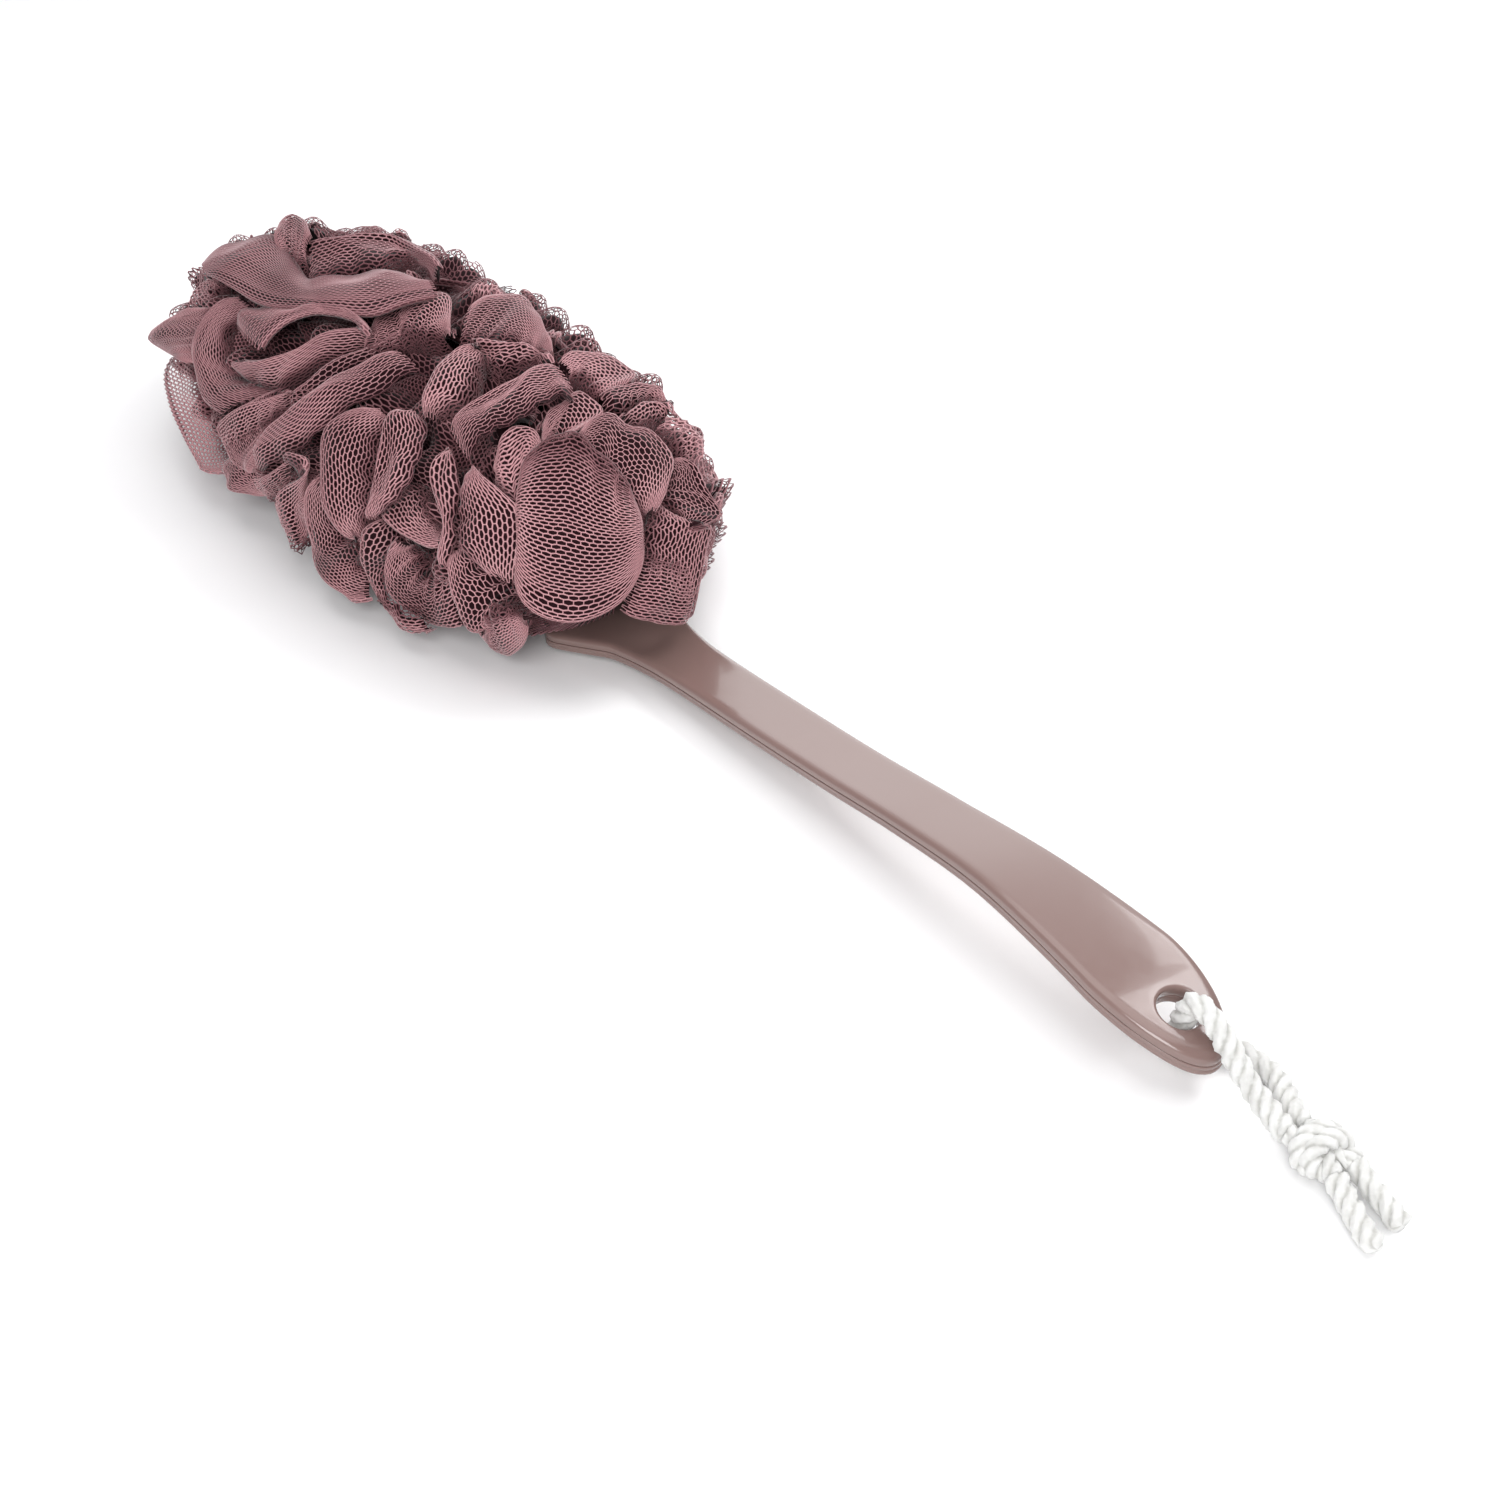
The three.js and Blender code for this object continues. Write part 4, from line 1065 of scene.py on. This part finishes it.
def sunk_shade(points):
    """Painted shade: 1 on the outside of the puff, less in the gaps between its folds, where the fabric lies in
    shadow.
    """
    reach = puff_depth(points)
    return 0.18 + 0.82 * smooth_step((reach - 0.72) / 0.24)


def lobe_net(grid, depth, shown, rng, kind="lobe", openness=0.3, back_depth=3.5, with_shadow_sheet=True):
    """The net of a lobe: its front layer, the fold at the rim and the start of the back layer, with a dark sheet
    between them, painted shade for the shadow inside the fold. A veil is one layer, and a band is folded along both
    edges."""
    sizes = VEIL_SIZES if kind == "veil" else net_sizes(openness)
    length = max(walk(grid[:, 0])[-1], walk(grid[:, GRID_V // 2])[-1])
    columns = max(5, round(length / sizes[0]))
    if kind == "veil":
        rows = math.ceil(depth / sizes[1])
        return layer_net(grid, depth, shown, columns, -rows, 1, rng, sizes, False, FOLD_RADIUS / 2)
    band = kind == "band"
    rows = math.ceil(((1 if band else min(1, shown + 5 / depth)) * depth + FOLD_RADIUS * 0.57) / sizes[1])
    back_rows = rows if band else min(rows, math.ceil(back_depth / sizes[1]))
    net = layer_net(grid, depth, shown, columns, -rows, back_rows, rng, sizes, band,
                    FOLD_RADIUS * (1.2 if band else 1))
    if not with_shadow_sheet:
        return net
    # Painted shade: a dark sheet inside the fold, where there is only shade.
    v = np.linspace(0.02, 0.98 if band else min(1, shown), GRID_V * 2)
    u = np.linspace(0.01, 0.99, GRID_U * 2)
    uu, vv = np.meshgrid(u, v, indexing="ij")
    shadow_sheet = (cubic(grid, uu, vv)
             - facing_at(grid, uu, vv) * (FOLD_RADIUS + 0.2 * soft_noise(rng, uu * 20, vv * 12, 1))[..., None])
    return joined([net, sheet_of(shadow_sheet, SHADOW_SHEET_SHADE)])


def bundle_core(row, side, rng):
    """The dense gathered middle of a bundle: a pleated form painted dark as shade, with more net over it that painted
    shade darkens.
    """
    low = max(PUFF_X[0] + row * ROW_PITCH, PUFF_X[0] + 7)
    high = min(PUFF_X[0] + (row + 1) * ROW_PITCH, PUFF_X[1] - 22)
    across, around = np.linspace(low, high, 22), np.linspace(3, 176, 60)
    phases = rng.uniform(0, 6.28, 3)
    grid = np.zeros((len(across), len(around), 3))
    for i, x in enumerate(across):
        closing = 0.05 if (row, i) in ((0, 0), (ROWS - 1, len(across) - 1)) else 1.0
        for j, turn in enumerate(around):
            axis = np.array([x, side * 1.0, 14.0])
            pleat = (1 + 0.08 * math.sin(turn * 0.22 + x * 0.13 + phases[0])
                     + 0.06 * math.sin(turn * 0.12 - x * 0.25 + phases[1]) + 0.03 * math.sin(x * 0.5 + phases[2]))
            grid[i, j] = axis + (puff_point(x, side * turn) - axis) * CORE_SHARE * pleat * closing
    grid[..., 1] = side * np.maximum(side * grid[..., 1], 0.6)
    grid[..., 2] = np.maximum(grid[..., 2], 2.0)
    over = (grid if side < 0 else grid[::-1]) * [1, 1.03, 1.03]
    depth = float(np.linalg.norm(np.diff(grid[len(across) // 2], axis=0), axis=1).sum())
    sizes = net_sizes(0.7)
    points, lattice, shade = layer_net(over, depth, 9, round((high - low) / sizes[0]), -round(depth / sizes[1]), 0,
                                       rng, sizes, False, 0.6)
    # Painted shade: the solid core is near black and the net over it is darkened.
    return joined([sheet_of(grid, 0.0), (points, lattice, shade * CORE_SHADE)])


def lobe_entry(x, turn, lean, length, width, wrap, lift, crown, ripple, waves, phase):
    """A folded lobe at x, turn degrees round from the top, rooted at the nearest tie."""
    side = -1 if turn < 0 else 1
    tie_x = TIE_X[row_at(x)]
    root = (tie_x + (x - tie_x) * 0.35, side * (5 + 8 * min(abs(turn), 90) / 90), 9.0)
    return dict(x=x, turn=turn, lean=lean, length=length, width=width, wrap=wrap, lift=lift, crown=crown,
                ripple=ripple, waves=waves, phase=phase, root=root)


def turned(lobe):
    """The same lobe half a turn round the vertical through the puff's middle, sunk into the puff."""
    copy = dict(lobe)
    for key in ("rim", "back"):
        points = np.array([[2 * MIDDLE[0] - x, -y, z] for x, y, z in lobe[key]])
        out = unit(np.mean([puff_normal(puff_project(p)) for p in points], axis=0))
        points = points - out * lobe["behind"]
        points[:, 2] = np.maximum(points[:, 2], 2)
        copy[key] = points.tolist()
    copy["seen_from"] = (2 * MIDDLE[0] - CAMERA_AT[0], -CAMERA_AT[1], CAMERA_AT[2])
    copy["open"] = min(1.0, lobe["open"] + 0.35)
    return copy


def bundle_of(points):
    """The row and side of the bundle that these points belong to."""
    centre = np.mean(points, axis=0)
    return row_at(centre[0]), -1 if centre[1] < 0 else 1


def make_netting():
    """The traced folds and their copies on the far side, then seeded folds under them, bundle by bundle."""
    material = netting_material()
    rng = np.random.default_rng(NETTING_SEED)
    nets = {(row, side): [] for row in range(ROWS) for side in (-1, 1)}
    for lobe in [*LOBES, *[turned(lobe) for lobe in LOBES if "behind" in lobe]]:
        points, faces, shade = lobe_net(*outline_grid(lobe, rng), rng, lobe.get("kind", "lobe"),
                                        lobe["open"] * OPENNESS)
        # Painted shade: each fold's colour is darkened by its lit factor.
        net = (points, faces, shade * lobe.get("lit", 1))
        nets[bundle_of(lobe["rim"] + lobe["back"])].append(net)
    for row in range(ROWS):
        for side in (-1, 1):
            centre_x = PUFF_X[0] + (row + 0.5) * ROW_PITCH
            count = 4 if (row, side) == (2, -1) else 7  # fewer there, to stay below 200,000 triangles
            for index in range(count):
                turn = side * (18 + 161 / count * index + rng.uniform(-6, 6))
                x = centre_x + (11 if index % 2 else -11) + rng.uniform(-5, 5)
                x = float(np.clip(x, PUFF_X[0] + 14, PUFF_X[1] - 14))
                lobe = lobe_entry(x, turn, rng.uniform(-180, 180), rng.uniform(24, 34), rng.uniform(44, 58),
                                  wrap=rng.uniform(0.4, 1.1), lift=rng.uniform(-9, -6), crown=2,
                                  ripple=rng.uniform(1, 4), waves=rng.uniform(0.6, 1.4),
                                  phase=rng.uniform(0, 6.28))
                grid, depth = lobe_grid(lobe)
                nets[(row, side)].append(lobe_net(faced(grid), depth, 0.45, rng, openness=rng.uniform(0.5, 1.0),
                                                  with_shadow_sheet=False))
    for side in (-1, 1):
        for turn, x in ((22, 6), (66, 4)):
            grid, depth = lobe_grid(lobe_entry(x, side * turn, 0, 26, 40, wrap=0.8, lift=-9, crown=2, ripple=2,
                                               waves=0.9, phase=turn))
            nets[(ROWS - 1, side)].append(lobe_net(faced(grid), depth, 0.5, rng, openness=0.6, with_shadow_sheet=False))
    for row in range(ROWS):
        for side, label in ((-1, "right"), (1, "left")):
            points, faces, shade = joined([*nets[(row, side)], bundle_core(row, side, rng)])
            piece = mesh_piece(f"netting_{row + 1}_{label}", points, faces, material, shade=shade)
            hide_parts(f"netting_bundle_{row + 1}_{label}")


def finish_ties():
    material = tie_material()
    for name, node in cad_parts.items():
        if name.startswith("netting_tie"):
            node.data.materials.clear()
            node.data.materials.append(material)


make_camera()
make_cord()
make_handle()
make_netting()
finish_ties()
make_stage()
